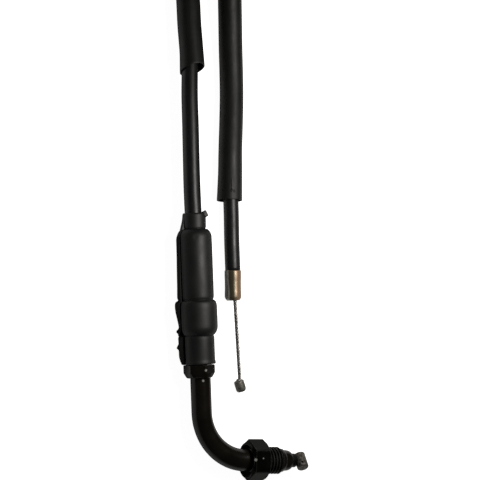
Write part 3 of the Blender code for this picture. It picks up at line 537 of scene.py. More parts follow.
COIL_START = 217.5  # degrees
COIL_STEP = 15.0  # degrees
COIL_STEPS = 41
COIL_SHRINK = (255.0, 335.0)  # degrees along the coil where it winds inwards
COIL_CLIMB = (525.0, 612.0)  # degrees along the coil where it climbs
TIE_ANGLE = 90.0  # degrees
TIE_LIFT = 0.0013
TIE_LIFT_SPREAD = 60.0  # degrees


def ease(value, start, end):
    """Share of the way from start to end, smooth at both, from 0 to 1."""
    share = min(1.0, max(0.0, (value - start) / (end - start)))
    return share * share * (3 - 2 * share)


def coil_route():
    """Points round the coil: flat on the table, raised where the tie passes under it."""
    points = []
    for i in range(COIL_STEPS + 1):
        run = i * COIL_STEP
        angle = COIL_START - run
        radius = COIL_OUTER_R + (COIL_INNER_R - COIL_OUTER_R) * ease(run, *COIL_SHRINK)
        from_tie = abs((angle - TIE_ANGLE + 180) % 360 - 180)
        lift = TIE_LIFT if from_tie < COIL_STEP else TIE_LIFT * (1 - ease(from_tie, 0, TIE_LIFT_SPREAD))
        height = COIL_Z + max(lift, COIL_HOP * ease(run, *COIL_CLIMB))
        out = radius * Vector((math.cos(math.radians(angle)), math.sin(math.radians(angle))))
        points.append((*(Vector(COIL_CENTRE) + out), height))
    return points


def smooth_curve(name, points, diameter, sides):
    """A round curve through the points, its handles set along the line from each point's neighbours."""
    curve = bpy.data.curves.new(name, "CURVE")
    curve.dimensions = "3D"
    curve.twist_mode = "Z_UP"
    curve.bevel_depth = diameter / 2
    curve.bevel_resolution = sides // 2 - 2
    curve.resolution_u = KNOT_STEPS
    spline = curve.splines.new("BEZIER")
    spline.bezier_points.add(len(points) - 1)
    last = len(points) - 1
    for i, (knot, here) in enumerate(zip(spline.bezier_points, points)):
        before, after = points[max(i - 1, 0)], points[min(i + 1, last)]
        lean = (after - before) / 6
        knot.handle_left_type = knot.handle_right_type = "FREE"
        knot.co = here
        knot.handle_left = here - lean
        knot.handle_right = here + lean
    obj = bpy.data.objects.new(name, curve)
    bpy.context.scene.collection.objects.link(obj)
    return obj


def swell(knots, shares):
    """Makes the curve thicker at its knots by those shares."""
    for knot, share in zip(knots, shares):
        knot.radius = share


jacket_vinyl = finish("jacket_vinyl", sheen=0.4)
jacket_mottle = grain(jacket_vinyl, 0.006, (1, 4, 1))
jacket_scuff = grain(jacket_vinyl, 0.0007, (1, 6, 1))
tint(jacket_vinyl, jacket_mottle, (0.0040, 0.0040, 0.0042), (0.0060, 0.0060, 0.0062))
polish(jacket_vinyl, jacket_scuff, 0.36, 0.46)
relief(jacket_vinyl, jacket_scuff, 0.000012)
whole_route = [CABLE_START] + THROTTLE_ROUTE + coil_route() + CARB_ROUTE + [CABLE_END]
cable_line = [Vector(p) + BOOT_TOP for p in whole_route]
cable = smooth_curve("cable_jacket", cable_line, CABLE_D, CABLE_SIDES)
swell(cable.data.splines[0].bezier_points, CABLE_SWELL)
cable.data.materials.append(jacket_vinyl)
wall = cable.modifiers.new("wall", "SOLIDIFY")
wall.thickness = CABLE_WALL
wall.offset = -1.0
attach(cable, "cable")
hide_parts("conduit_jacket")

# Inside of the cable: the steel armour, the white plastic liner that the wire runs in, and the wire itself,
# with the stretch of it that goes round the pipe's bend. They stay as the CAD made them.
armour_steel = finish("armour_steel", metallic=1.0)
armour_rust = grain(armour_steel, 0.003)
tint(armour_steel, armour_rust, (0.28, 0.26, 0.24), (0.55, 0.54, 0.52))
polish(armour_steel, armour_rust, 0.35, 0.55)
liner_plastic = finish("liner_plastic")
liner_cloud = grain(liner_plastic, 0.004)
tint(liner_plastic, liner_cloud, (0.66, 0.64, 0.58), (0.76, 0.75, 0.71))
polish(liner_plastic, liner_cloud, 0.35, 0.5)
for node, mat in (
    ("conduit_armour", armour_steel),
    ("conduit_liner", liner_plastic),
    ("core_wire", steel),
    ("bend_wire", steel),
):
    frame["nodes"][node].material_slots[0].material = mat

# Tie round the coil: a black nylon cable tie, moulded in one piece. Its strap is pulled tight through a small
# head and keeps the coil's turns together.
TIE_WALL = 0.0010
TIE_WIDTH = 0.0050
TIE_GAP = 0.0003
TIE_CORNER = 0.0028
HEAD_SIZE = (0.0034, 0.0066, 0.0052)
HEAD_LIFT = 0.35  # of the strap's half height
HEAD_ROUNDING = 0.0006
SLEEVE_D = 0.0089


def next_ring(bm, edges):
    """Extrudes a ring of edges and returns the new ring's vertices and edges."""
    made = bmesh.ops.extrude_edge_only(bm, edges=edges)["geom"]
    verts = [g for g in made if isinstance(g, bmesh.types.BMVert)]
    fresh = set(verts)
    return verts, [g for g in made if isinstance(g, bmesh.types.BMEdge) and set(g.verts) <= fresh]


def rounded_block(bm, size, place, rounding, segments):
    """A block of that size at a place, its edges rounded."""
    corners = bmesh.ops.create_cube(bm, size=1.0, matrix=place @ Matrix.Diagonal((*size, 1)))["verts"]
    bmesh.ops.bevel(
        bm,
        geom=list({e for v in corners for e in v.link_edges}),
        offset=rounding,
        segments=segments,
        profile=0.5,
        affect="EDGES",
        material=-1,
    )


tie_nylon = finish("tie_nylon")
nylon_mottle = grain(tie_nylon, 0.002)
tint(tie_nylon, nylon_mottle, (0.010, 0.010, 0.011), (0.018, 0.018, 0.019))
polish(tie_nylon, nylon_mottle, 0.4, 0.55)
half_across = (COIL_OUTER_R - COIL_INNER_R + SLEEVE_D) / 2 + TIE_GAP
half_high = SLEEVE_D / 2 + TIE_GAP
coil_middle = (COIL_OUTER_R + COIL_INNER_R) / 2
tie_turn = Matrix.Rotation(math.radians(TIE_ANGLE), 4, "Z")
tie_centre = Vector((*COIL_CENTRE, COIL_Z + TIE_LIFT)) + tie_turn.to_3x3() @ Vector((coil_middle, 0, 0))
bm = bmesh.new()
corners = ((1, 1), (-1, 1), (-1, -1), (1, -1))
_, strap_edges = outline(bm, [(x * half_across, z * half_high, TIE_CORNER) for x, z in corners])
far_verts, _ = next_ring(bm, strap_edges)
bmesh.ops.translate(bm, verts=far_verts, vec=(0, TIE_WIDTH, 0))
bmesh.ops.translate(bm, verts=bm.verts[:], vec=(0, -TIE_WIDTH / 2, 0))
bmesh.ops.recalc_face_normals(bm, faces=bm.faces[:])
bmesh.ops.solidify(bm, geom=bm.faces[:], thickness=-TIE_WALL)
head_place = Matrix.Translation((half_across + TIE_WALL, 0, HEAD_LIFT * half_high))
rounded_block(bm, HEAD_SIZE, head_place, HEAD_ROUNDING, segments=2)
tie_place = Matrix.Translation(tie_centre + BOOT_TOP) @ tie_turn
tie = add_piece("tie_strap", bm, tie_nylon, "cable", tie_place)
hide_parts("coil_tie")

# Sleeve over the cable: slack black vinyl tube, 8.9 mm over all, extruded, cut to length and slipped on. Its
# upper mouth is cut askew and gapes, and its lower one is cut nearly square, a little spread and marked.
SLEEVE_WALL = 0.0005
SLEEVE_SIDES = 28
UPPER_START = [(0.0004, 0.0490, AXIS_Z), (0.0006, 0.0535, AXIS_Z)]  # its own points, before the shared ones
LOWER_END = (0.0172, 0.0020, 0.0038)
SHARED_FROM = 5  # first of the cable's throttle points that the sleeve shares
SHARED_TO = -3  # first of its carburettor points that the sleeve no longer shares
UPPER_MOUTH = (0.0010, 0.0530, AXIS_Z)  # middle of the askew cut, from the boot's top
UPPER_MOUTH_CUT = (-0.0815, 1, -0.4568)  # the way into the tube, square to the cut
LOWER_MOUTH = (LOWER_END[0], 0.0043, LOWER_END[2])
LOWER_MOUTH_CUT = (0.0902, 1, -0.0999)
MOUTH_REACH = 0.0095  # round a mouth's middle, within which the tube is cut
UPPER_SHIFT = Vector((0.00105, 0, 0.00045))  # how the slack sleeve lies off the cable
LOWER_SHIFT = Vector((-0.0009, 0, 0.0010))
UPPER_SHIFT_LENGTH = 0.022
LOWER_SHIFT_LENGTH = 0.045
UPPER_FLARE = (1.05, 1.05)
LOWER_FLARE = (1.02, 1.09)
RIM_ROUNDING = 0.00018
RIM_ANGLE = math.radians(50)
WELTS = [
    ((-0.00220, 0.0608, 0.0093), (0.00045, 0.0026, 0.0010), 0.00008),
    ((-0.00242, 0.0584, 0.0093), (0.00050, 0.0008, 0.0010), 0.00020),
    ((-0.00150, 0.0580, 0.0095), (0.00042, 0.0009, 0.0010), 0.00010),
]  # place, reach each way and height of the marks by the lower mouth


def welt(mat, place, reach, height):
    """A small raised mark, with a bump of that height in metres at its middle."""
    rise = spread(mat, measured(mat, "LENGTH", mapped(mat, place, reach)), 1.0, 0.0)
    rise.node.interpolation_type = "SMOOTHSTEP"
    relief(mat, rise, height)


sleeve_vinyl = finish("sleeve_vinyl", sheen=0.35)
sleeve_mottle = grain(sleeve_vinyl, 0.008, (1, 3, 1))
sleeve_scuff = grain(sleeve_vinyl, 0.0009, (1, 8, 1))
sleeve_dents = grain(sleeve_vinyl, 0.004, detail=1.0)
tint(sleeve_vinyl, sleeve_mottle, (0.0048, 0.0050, 0.0042), (0.0066, 0.0067, 0.0058))
polish(sleeve_vinyl, sleeve_scuff, 0.44, 0.56)
relief(sleeve_vinyl, sleeve_scuff, 0.00002)
relief(sleeve_vinyl, sleeve_dents, 0.00008)
for place, reach, height in WELTS:
    welt(sleeve_vinyl, place, reach, height)
sleeve_route = UPPER_START + THROTTLE_ROUTE[SHARED_FROM:] + coil_route()
sleeve_route += CARB_ROUTE[:SHARED_TO] + [LOWER_END]
sleeve_line = []
upper_run, lower_run = Vector(sleeve_route[0]), Vector(sleeve_route[-1])
for point in sleeve_route:
    near_upper = 1 - ease((Vector(point) - upper_run).length, 0, UPPER_SHIFT_LENGTH)
    near_lower = 1 - ease((Vector(point) - lower_run).length, 0, LOWER_SHIFT_LENGTH)
    sleeve_line.append(Vector(point) + BOOT_TOP + UPPER_SHIFT * near_upper + LOWER_SHIFT * near_lower)
blank = smooth_curve("sleeve_blank", sleeve_line, SLEEVE_D, SLEEVE_SIDES)
swell(blank.data.splines[0].bezier_points, UPPER_FLARE)
swell(blank.data.splines[0].bezier_points[-len(LOWER_FLARE) :], LOWER_FLARE)


def shaped(obj):
    """A bmesh of the object as its curve or modifiers shape it."""
    bpy.context.view_layer.update()
    mesh = bpy.data.meshes.new_from_object(obj.evaluated_get(bpy.context.evaluated_depsgraph_get()))
    bm = bmesh.new()
    bm.from_mesh(mesh)
    bpy.data.meshes.remove(mesh)
    return bm


def cut_mouth(bm, mouth, into):
    """Cuts the tube off at a mouth, square to the way into it."""
    near = {f for v in bm.verts if (v.co - mouth).length < MOUTH_REACH for f in v.link_faces}
    edges = {e for f in near for e in f.edges}
    verts = {v for f in near for v in f.verts}
    bmesh.ops.bisect_plane(
        bm,
        geom=list(verts) + list(edges) + list(near),
        dist=1e-7,
        plane_co=mouth,
        plane_no=into,
        clear_inner=True,
    )


bm = shaped(blank)
bpy.data.objects.remove(blank)
upper_mouth = BOOT_TOP + Vector(UPPER_MOUTH)
cut_mouth(bm, upper_mouth, UPPER_MOUTH_CUT)
lower_mouth = BOOT_TOP + Vector(LOWER_MOUTH) + LOWER_SHIFT
cut_mouth(bm, lower_mouth, LOWER_MOUTH_CUT)
sleeve = add_piece("sleeve", bm, sleeve_vinyl, "cable", sharp=60)
sleeve_wall = sleeve.modifiers.new("wall", "SOLIDIFY")
sleeve_wall.thickness = SLEEVE_WALL
sleeve_wall.offset = -1.0
sleeve_rim = sleeve.modifiers.new("rim", "BEVEL")
sleeve_rim.width = RIM_ROUNDING
sleeve_rim.segments = 2
sleeve_rim.limit_method = "ANGLE"
sleeve_rim.angle_limit = RIM_ANGLE
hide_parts("sleeve_throttle_run", "sleeve_coil", "sleeve_carb_run")

# Inside of the boot, as the CAD made it: the pressed steel cap on the cable's stripped end, the hexagon
# adjuster barrel that it seats in, and the thin nut that locks the barrel on the stud. The last two are steel
# with black zinc plating.
black_zinc = finish("black_zinc", sheen=0.035)
zinc_bloom = grain(black_zinc, 0.0025, detail=4.0)
zinc_peel = grain(black_zinc, 0.0004)
tint(black_zinc, zinc_bloom, (0.0018, 0.0023, 0.0017), (0.0045, 0.0044, 0.0036))
polish(black_zinc, zinc_bloom, 0.16, 0.26)
relief(black_zinc, zinc_peel, 0.000006)
# Light edges: partly wear, partly painted glints along the thread's crests.
wear(black_zinc, zinc_bloom, (0.15, 0.15, 0.14))
cap_steel = finish("cap_steel", metallic=1.0)
cap_stain = grain(cap_steel, 0.002, (1, 3, 1))
tint(cap_steel, cap_stain, (0.36, 0.35, 0.33), (0.56, 0.55, 0.53))
polish(cap_steel, cap_stain, 0.32, 0.48)
for node, mat in (
    ("conduit_end_cap", cap_steel),
    ("adjuster_barrel", black_zinc),
    ("lock_nut", black_zinc),
):
    frame["nodes"][node].material_slots[0].material = mat

# Adjuster stud: a hollow M6 stud with a hexagon collar at its foot, turned from steel bar. The bent pipe is
# brazed into the collar, and collar and pipe are painted gloss black together.
CORNER_LEFT = 0.985  # of a hexagon's sharp corner, after turning


def hex_flats(bm, flats, face_angle, start, end):
    """Mills flats between two stations: what stands past the hexagon is brought in to it."""
    turned_corner = CORNER_LEFT * flats / math.sqrt(3)
    for vert in bm.verts:
        if start <= vert.co.z <= end:
            angle = math.atan2(vert.co.y, vert.co.x) - face_angle
            from_flat = (angle + math.radians(30)) % math.radians(60) - math.radians(30)
            limit = min(flats / 2 / math.cos(from_flat), turned_corner)
            radius = vert.co.xy.length
            if radius > limit:
                vert.co.xy *= limit / radius


THREAD_RING = 0.0002  # from the thread's crest to the rings that wait for its ends
THREAD_STEPS = 64
SPARE_TURNS = 2  # at each end, cut off again
TOUCH = 1e-6  # points nearer than this lie on each other
FILL_SCALE = 1000  # the fill of the thread's ends works in millimetres, well over its own tolerance


def add_thread(bm, crest, depth, pitch, start, end):
    """Winds a screw thread between two stations and closes it flat to the rings that wait there."""
    root = crest - depth
    base = start - SPARE_TURNS * pitch
    turns = math.ceil((end - start) / pitch) + 2 * SPARE_TURNS
    # One turn's outline: a radius at each share of the pitch.
    flank = [(root, 0.0), (root, 0.08), (crest, 0.42), (crest, 0.58), (root, 0.92), (root, 1.0)]
    wound = bmesh.new()
    verts, edges = outline(wound, [(r, base + share * pitch, 0) for r, share in flank], closed=False)
    spun(wound, verts + edges, math.tau, THREAD_STEPS, rise=pitch / THREAD_STEPS)
    one_turn = wound.verts[:] + wound.edges[:] + wound.faces[:]
    for turn in range(1, turns):
        copy = bmesh.ops.duplicate(wound, geom=one_turn)["geom"]
        copied = [g for g in copy if isinstance(g, bmesh.types.BMVert)]
        bmesh.ops.translate(wound, verts=copied, vec=(0, 0, turn * pitch))
    bmesh.ops.remove_doubles(wound, verts=wound.verts[:], dist=TOUCH)
    for station, side in ((start, "clear_inner"), (end, "clear_outer")):
        bmesh.ops.bisect_plane(
            wound,
            geom=wound.verts[:] + wound.edges[:] + wound.faces[:],
            dist=1e-8,
            plane_co=(0, 0, station),
            plane_no=(0, 0, 1),
            **{side: True},
        )
    mesh = bpy.data.meshes.new("thread")
    wound.to_mesh(mesh)
    wound.free()
    bm.from_mesh(mesh)
    bpy.data.meshes.remove(mesh)
    ends = [
        [e for e in bm.edges if e.is_boundary and all(abs(v.co.z - station) < TOUCH for v in e.verts)]
        for station in (start, end)
    ]
    bmesh.ops.scale(bm, vec=[FILL_SCALE] * 3, verts=bm.verts[:])
    for waiting in ends:
        bmesh.ops.triangle_fill(bm, edges=waiting, use_beauty=True, normal=(0, 0, 1))
    bmesh.ops.scale(bm, vec=[1 / FILL_SCALE] * 3, verts=bm.verts[:])


def painted_glints(mat, places, overlay_colour):
    """Small round light spots, each at a place with a radius: painted glints laid over the base colour."""
    for place, radius in places:
        apart = measured(mat, "LENGTH", mapped(mat, place, (1, 1, 1)))
        cover(mat, spread(mat, apart, radius, radius / 2), overlay_colour)


ADJUSTER = axis_place((BOOT_TOP.x, BOOT_TOP.y, AXIS_Z), (0, -1, 0))
STUD_TOP = 0.0225
STUD_R = 0.0030
STUD_BORE_R = 0.0017
STUD_PITCH = 0.0010
STUD_THREAD_DEPTH = 0.0005
COLLAR_TOP = 0.0563
COLLAR_FOOT = 0.0611
COLLAR_FLATS = 0.0103
COLLAR_FACE_ANGLE = math.radians(119.5)
COLLAR_NECK = 0.0021
COLLAR_NECK_R = 0.0047
PIPE_SOCKET = 0.0035
PIPE_SOCKET_R = 0.0038
HEX_STEPS = 120
# Light grey of the painted glints.
GLINT_GREY = (0.34, 0.33, 0.31)
PAINT_GLINTS = [
    ((-0.01773, -0.00775, 0.01324), 0.00060),
    ((-0.01808, -0.01164, 0.01117), 0.00055),
]  # painted glints: on the collar, and on the pipe under it
black_paint = finish("gloss_black_paint", sheen=0.22)
paint_cloud = grain(black_paint, 0.006)
paint_peel = grain(black_paint, 0.0012)
tint(black_paint, paint_cloud, (0.0052, 0.0041, 0.0027), (0.0088, 0.0070, 0.0050))
polish(black_paint, paint_cloud, 0.17, 0.28)
relief(black_paint, paint_peel, 0.00002)
wear(black_paint, paint_cloud, (0.16, 0.15, 0.14))
# Painted glints on the collar and the pipe.
painted_glints(black_paint, PAINT_GLINTS, GLINT_GREY)
bm = bmesh.new()
collar_corner = COLLAR_FLATS / math.sqrt(3)
turned(
    bm,
    [
        (STUD_R + THREAD_RING, COLLAR_TOP, 0),
        (collar_corner, COLLAR_TOP, 0.0004),
        (collar_corner, COLLAR_FOOT - COLLAR_NECK, 0.0005),
        (COLLAR_NECK_R, COLLAR_FOOT, 0.0004),
        (PIPE_SOCKET_R, COLLAR_FOOT, 0),
        (PIPE_SOCKET_R, COLLAR_FOOT - PIPE_SOCKET, 0),
        (STUD_BORE_R, COLLAR_FOOT - PIPE_SOCKET, 0),
        (STUD_BORE_R, STUD_TOP, 0),
    ],
    steps=HEX_STEPS,
    closed=False,
)
hex_flats(bm, COLLAR_FLATS, COLLAR_FACE_ANGLE, COLLAR_TOP - TOUCH, COLLAR_FOOT)
add_thread(bm, STUD_R, STUD_THREAD_DEPTH, STUD_PITCH, STUD_TOP, COLLAR_TOP)
stud = add_piece("stud_and_collar", bm, black_paint, "elbow", ADJUSTER, sharp=24)
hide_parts("adjuster_stud")

# Boot over the adjuster: moulded black rubber, slit along its back edge so that it can be pulled over. It has
# a collar on the cable, a long body, a thicker band and a lower skirt. The slit's under edge curls out, and a
# scrap of moulding flash stands at its top.
BOOT_LENGTH = 0.0560
BOOT_SKIRT_TOP = 0.0455
SLIT_ANGLE = math.radians(168)
SLIT_WIDTH = 0.0006
BOOT_COLLAR_R = 0.0045
BOOT_BODY_R = 0.00647
BOOT_BAND_R = 0.0075
BOOT_SKIRT_R = 0.0061
BOOT_RIM_R = 0.0063
BOOT_COLLAR_BORE_R = 0.0034
BOOT_BORE_R = 0.00492
BOOT_BAND_BORE_R = 0.00552
BOOT_STATION_STEP = 0.0009
BOOT_STEPS = 120
BOOT_OUTLINE = [
    (BOOT_COLLAR_R, 0.0000, 0.0006),
    (BOOT_COLLAR_R, 0.0054, 0.0003),
    (0.0042, 0.0059, 0.0001),
    (0.0051, 0.0061, 0.0003),
    (BOOT_BODY_R, 0.0077, 0.0012),
    (BOOT_BODY_R, 0.0314, 0.0005),
    (0.0061, 0.0322, 0.0001),
    (0.0071, 0.0328, 0.0004),
    (BOOT_BAND_R, 0.0342, 0.0008),
    (BOOT_BAND_R, 0.0434, 0.0012),
    (0.0064, 0.0450, 0.0003),
    (0.0058, BOOT_SKIRT_TOP, 0.0001),
    (BOOT_SKIRT_R, 0.0460, 0.0003),
    (BOOT_SKIRT_R, 0.0546, 0.0004),
    (BOOT_RIM_R, 0.0552, 0.0003),
    (BOOT_RIM_R, BOOT_LENGTH, 0.0003),
    (BOOT_BORE_R, BOOT_LENGTH, 0.0002),
    (BOOT_BORE_R, 0.0454, 0),
    (BOOT_BAND_BORE_R, 0.0425, 0),
    (BOOT_BAND_BORE_R, 0.0343, 0),
    (BOOT_BORE_R, 0.0316, 0),
    (BOOT_BORE_R, 0.0086, 0),
    (BOOT_COLLAR_BORE_R, 0.0060, 0),
    (BOOT_COLLAR_BORE_R, 0.0000, 0.0002),
]  # radius, station from the top and rounding
CURL = [
    (0.0094, 0.0004),
    (0.0220, 0.0006),
    (0.0300, 0.0009),
    (0.0335, 0.0010),
    (0.0380, 0.0005),
    (0.0425, 0.0010),
    (0.0455, 0.0014),
    (0.0485, 0.0013),
    (0.0530, 0.0013),
    (0.0548, 0.0009),
    (0.0560, 0.0004),
]  # how far the slit's under edge stands out at each station
COLLAR_SLOPE = [
    (0.0000, 0.0037),
    (0.0034, 0.0046),
    (0.0064, 0.0056),
    (0.0094, 0.0069),
]  # radius of that edge where it runs up on to the collar
COLLAR_INSIDE_R = 0.0036  # the bore within it stays round
COLLAR_INSIDE_END = 0.0062
BODY_INSIDE_R = 0.0056  # the same past the collar
SLIT_SLACK = 0.001  # radians, so that the slit's under edge itself counts as past the slit
CURL_SPREAD = (math.radians(12), math.radians(72))
NOTCH_STATIONS = (0.0365, 0.0435)  # where the band is worn back beside the slit
NOTCH_SPREAD = (math.radians(42), math.radians(85))
NUB_STATIONS = (0.0437, 0.0496)
NUB_ANGLE = math.radians(37)
NUB_OUT = 0.0012
NUB_HALF = 0.0009
NUB_HALF_ANGLE = math.radians(11)
GAPE = [
    (0.0000, 0.0),
    (0.0400, 0.0),
    (0.0455, 0.20),
    (0.0540, 0.22),
    (0.0560, 0.06),
]  # radians by which the slit's under edge draws back at each station
GAPE_SPREAD = math.radians(50)
NEAR_LIP = 0.00015  # how far the slit's upper edge stands out
NEAR_LIP_SPREAD = math.radians(7)
NEAR_LIP_START = (0.006, 0.009)
CREASE_STATION = 0.0087  # of a short crease across the body's top
CREASE_HALF = 0.0003
CREASE_ANGLE = math.radians(112)
CREASE_HALF_ANGLE = math.radians(8)
CREASE_DEPTH = 0.0003
WAVE = 0.00010
WAVE_LENGTH = 0.009
FLASH_SIZE = (0.0019, 0.0011, 0.0025)
FLASH_ROUNDING = 0.00045
FLASH_PLACE = (0.0032, 0.0031, 0.0005)
FLASH_FACE = math.radians(7)
FLASH_LEAN = math.radians(25)
BOOT_SHEEN = 0.38
CUT_SHEEN = 0.03  # of the slit's cut faces
CUT_SPREAD = (math.radians(35), math.radians(70))
CUT_START = (0.004, 0.009)


def along(table, station):
    """The table's value at a station, on straight lines between its entries."""
    for (s0, v0), (s1, v1) in zip(table, table[1:]):
        if s0 <= station <= s1:
            return v0 + (v1 - v0) * (station - s0) / (s1 - s0)
    return table[-1][1]


def bell(value, middle, half):
    """A smooth rise to 1 at the middle, mostly gone two halves away."""
    return math.exp(-(((value - middle) / half) ** 2))


boot_rubber = finish("boot_rubber", sheen=BOOT_SHEEN)
rubber_mottle = grain(boot_rubber, 0.007)
rubber_grain = grain(boot_rubber, 0.0005, detail=4.0)
tint(boot_rubber, rubber_mottle, (0.0046, 0.0050, 0.0049), (0.0064, 0.0066, 0.0064))
polish(boot_rubber, rubber_mottle, 0.48, 0.57)
relief(boot_rubber, rubber_grain, 0.00002)
cut_face = boot_rubber.node_tree.nodes.new("ShaderNodeAttribute")
cut_face.attribute_name = "cut_face"
dulled = spread(boot_rubber, cut_face.outputs["Fac"], 0.0, 1.0, BOOT_SHEEN, CUT_SHEEN)
feed(boot_rubber, dulled, "Specular IOR Level")
bm = bmesh.new()
cut_layer = bm.verts.layers.float.new("cut_face")
_, boot_edges = outline(bm, BOOT_OUTLINE)
for edge in boot_edges:
    cuts = int(edge.calc_length() / BOOT_STATION_STEP)
    if cuts:
        bmesh.ops.subdivide_edges(bm, edges=[edge], cuts=cuts)
half_slit = math.asin(SLIT_WIDTH / 2 / BOOT_BODY_R)
slit_far = SLIT_ANGLE + half_slit
boot_sweep = math.tau - 2 * half_slit
bmesh.ops.rotate(bm, verts=bm.verts[:], cent=(0, 0, 0), matrix=Matrix.Rotation(slit_far, 3, "Z"))
boot_edges = bm.edges[:]
slit_near_face = spun(bm, bm.verts[:] + boot_edges, boot_sweep, BOOT_STEPS)
bmesh.ops.contextual_create(bm, geom=boot_edges)
bmesh.ops.contextual_create(bm, geom=[g for g in slit_near_face if isinstance(g, bmesh.types.BMEdge)])
for vert in bm.verts:
    station, radius = vert.co.z, vert.co.xy.length
    if radius < (COLLAR_INSIDE_R if station < COLLAR_INSIDE_END else BODY_INSIDE_R):
        continue
    angle = math.atan2(vert.co.y, vert.co.x)
    past = (angle - slit_far + SLIT_SLACK) % math.tau
    before = boot_sweep - past
    vert[cut_layer] = (1 - ease(past, *CUT_SPREAD)) * ease(station, *CUT_START)
    out = along(CURL, station) if station > COLLAR_SLOPE[-1][0] else along(COLLAR_SLOPE, station) - radius
    out *= 1 - ease(past, *CURL_SPREAD)
    out += NEAR_LIP * (1 - ease(before, 0, NEAR_LIP_SPREAD)) * ease(station, *NEAR_LIP_START)
    worn_back = ease(station, *NOTCH_STATIONS) * (1 - ease(past, *NOTCH_SPREAD))
    out -= max(0.0, radius - BOOT_SKIRT_R) * worn_back
    for nub in NUB_STATIONS:
        out += NUB_OUT * bell(station, nub, NUB_HALF) * bell(past, NUB_ANGLE, NUB_HALF_ANGLE)
    creased = bell(station, CREASE_STATION, CREASE_HALF) * bell(angle, CREASE_ANGLE, CREASE_HALF_ANGLE)
    out -= CREASE_DEPTH * creased
    out += WAVE * noise.noise(vert.co / WAVE_LENGTH)
    angle += along(GAPE, station) * (1 - ease(past, 0, GAPE_SPREAD))
    vert.co.xy = (radius + out) * Vector((math.cos(angle), math.sin(angle)))
flash_turn = Matrix.Rotation(FLASH_FACE, 4, "Z") @ Matrix.Rotation(FLASH_LEAN, 4, "Y")
rounded_block(bm, FLASH_SIZE, Matrix.Translation(FLASH_PLACE) @ flash_turn, FLASH_ROUNDING, segments=3)
boot = add_piece("boot", bm, boot_rubber, "boot", ADJUSTER, sharp=50)
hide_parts("adjuster_boot")

# Bent pipe: drawn steel tube, 7.6 mm, bent through 86 degrees and painted gloss black. It is swaged wider up
# to the rolled bead that takes the loose nut's push, and a flare and a pilot in front of the nut centre it in
# its housing.
PIPE_R = 0.0038
PIPE_END_R = 0.00415
PIPE_NECK_R = 0.0036
PIPE_BORE_R = 0.00255
PIPE_TOP = 0.0579
PIPE_BEND_START = 0.0740
PIPE_BEND_R = 0.0190
PIPE_BEND_ANGLE = math.radians(85.7)
PIPE_SHIFT = 0.0004  # how far the pipe is fitted off the adjuster's axis
BEND_STEPS = 48
PIPE_SIDES = 56
OUTLET_STATIONS = [
    (0.0016, PIPE_END_R),
    (0.0018, 0.00450),
    (0.0021, 0.00475),
    (0.0024, 0.00480),
    (0.0027, 0.00475),
    (0.0030, 0.00450),
    (0.0032, PIPE_NECK_R),
    (0.01425, PIPE_NECK_R),
    (0.01435, 0.00440),
    (0.01450, 0.00450),
    (0.01540, 0.00435),
    (0.01580, 0.00410),
    (0.01600, 0.00395),
    (0.01740, 0.00385),
    (0.01820, 0.00365),
    (0.01890, 0.00325),
    (0.01900, 0.00300),
    (0.01900, 0.00240),
    (0.00250, 0.00240),
    (0.00170, PIPE_BORE_R),
]  # bead, loose nut's run, flare, pilot and bore, from the end of the bend
bend_length = PIPE_BEND_R * PIPE_BEND_ANGLE
bend_end = Vector(
    (
        PIPE_BEND_R * (1 - math.cos(PIPE_BEND_ANGLE)),
        -PIPE_BEND_START - PIPE_BEND_R * math.sin(PIPE_BEND_ANGLE),
        AXIS_Z,
    )
)
OUTLET_DIRECTION = Vector((math.sin(PIPE_BEND_ANGLE), -math.cos(PIPE_BEND_ANGLE), 0))
OUTLET = axis_place(BOOT_TOP + bend_end, OUTLET_DIRECTION)
bend_centre = Matrix.Translation(BOOT_TOP + Vector((PIPE_BEND_R, -PIPE_BEND_START, AXIS_Z)))


def pipe_place(run):
    """Place on the pipe's centre line, at a run along it from the end of the bend."""
    back = min(max(-run, 0.0), bend_length)
    turn = bend_centre @ Matrix.Rotation(-back / PIPE_BEND_R, 4, "Z") @ bend_centre.inverted()
    off_axis = Matrix.Translation(PIPE_SHIFT * OUTLET_DIRECTION)
    return off_axis @ turn @ OUTLET @ Matrix.Translation((0, 0, run + back))


pipe_top = PIPE_TOP - PIPE_BEND_START - bend_length
bend_runs = [bend_length * (i / BEND_STEPS - 1) for i in range(BEND_STEPS + 1)]
pipe_rings = [(run, PIPE_R + (PIPE_END_R - PIPE_R) * ease(run, -bend_length, 0)) for run in bend_runs]
pipe_rings += [(station - PIPE_SHIFT, radius) for station, radius in OUTLET_STATIONS]
pipe_rings += [(run, PIPE_BORE_R) for run in reversed(bend_runs)] + [(pipe_top, PIPE_BORE_R)]
bm = bmesh.new()
was_place, was_radius = pipe_place(pipe_top), PIPE_R
ring = bmesh.ops.create_circle(bm, segments=PIPE_SIDES, radius=was_radius, matrix=was_place)["verts"]
outer_rim = pipe_edges = list({e for v in ring for e in v.link_edges})
for run, radius in pipe_rings:
    pipe_verts, pipe_edges = next_ring(bm, pipe_edges)
    place, growth = pipe_place(run), radius / was_radius
    step = place @ Matrix.Diagonal((growth, growth, 1, 1)) @ was_place.inverted()
    bmesh.ops.transform(bm, matrix=step, verts=pipe_verts)
    was_place, was_radius = place, radius
bmesh.ops.bridge_loops(bm, edges=outer_rim + pipe_edges)
pipe = add_piece("bent_pipe", bm, black_paint, "elbow")
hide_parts("elbow_pipe")

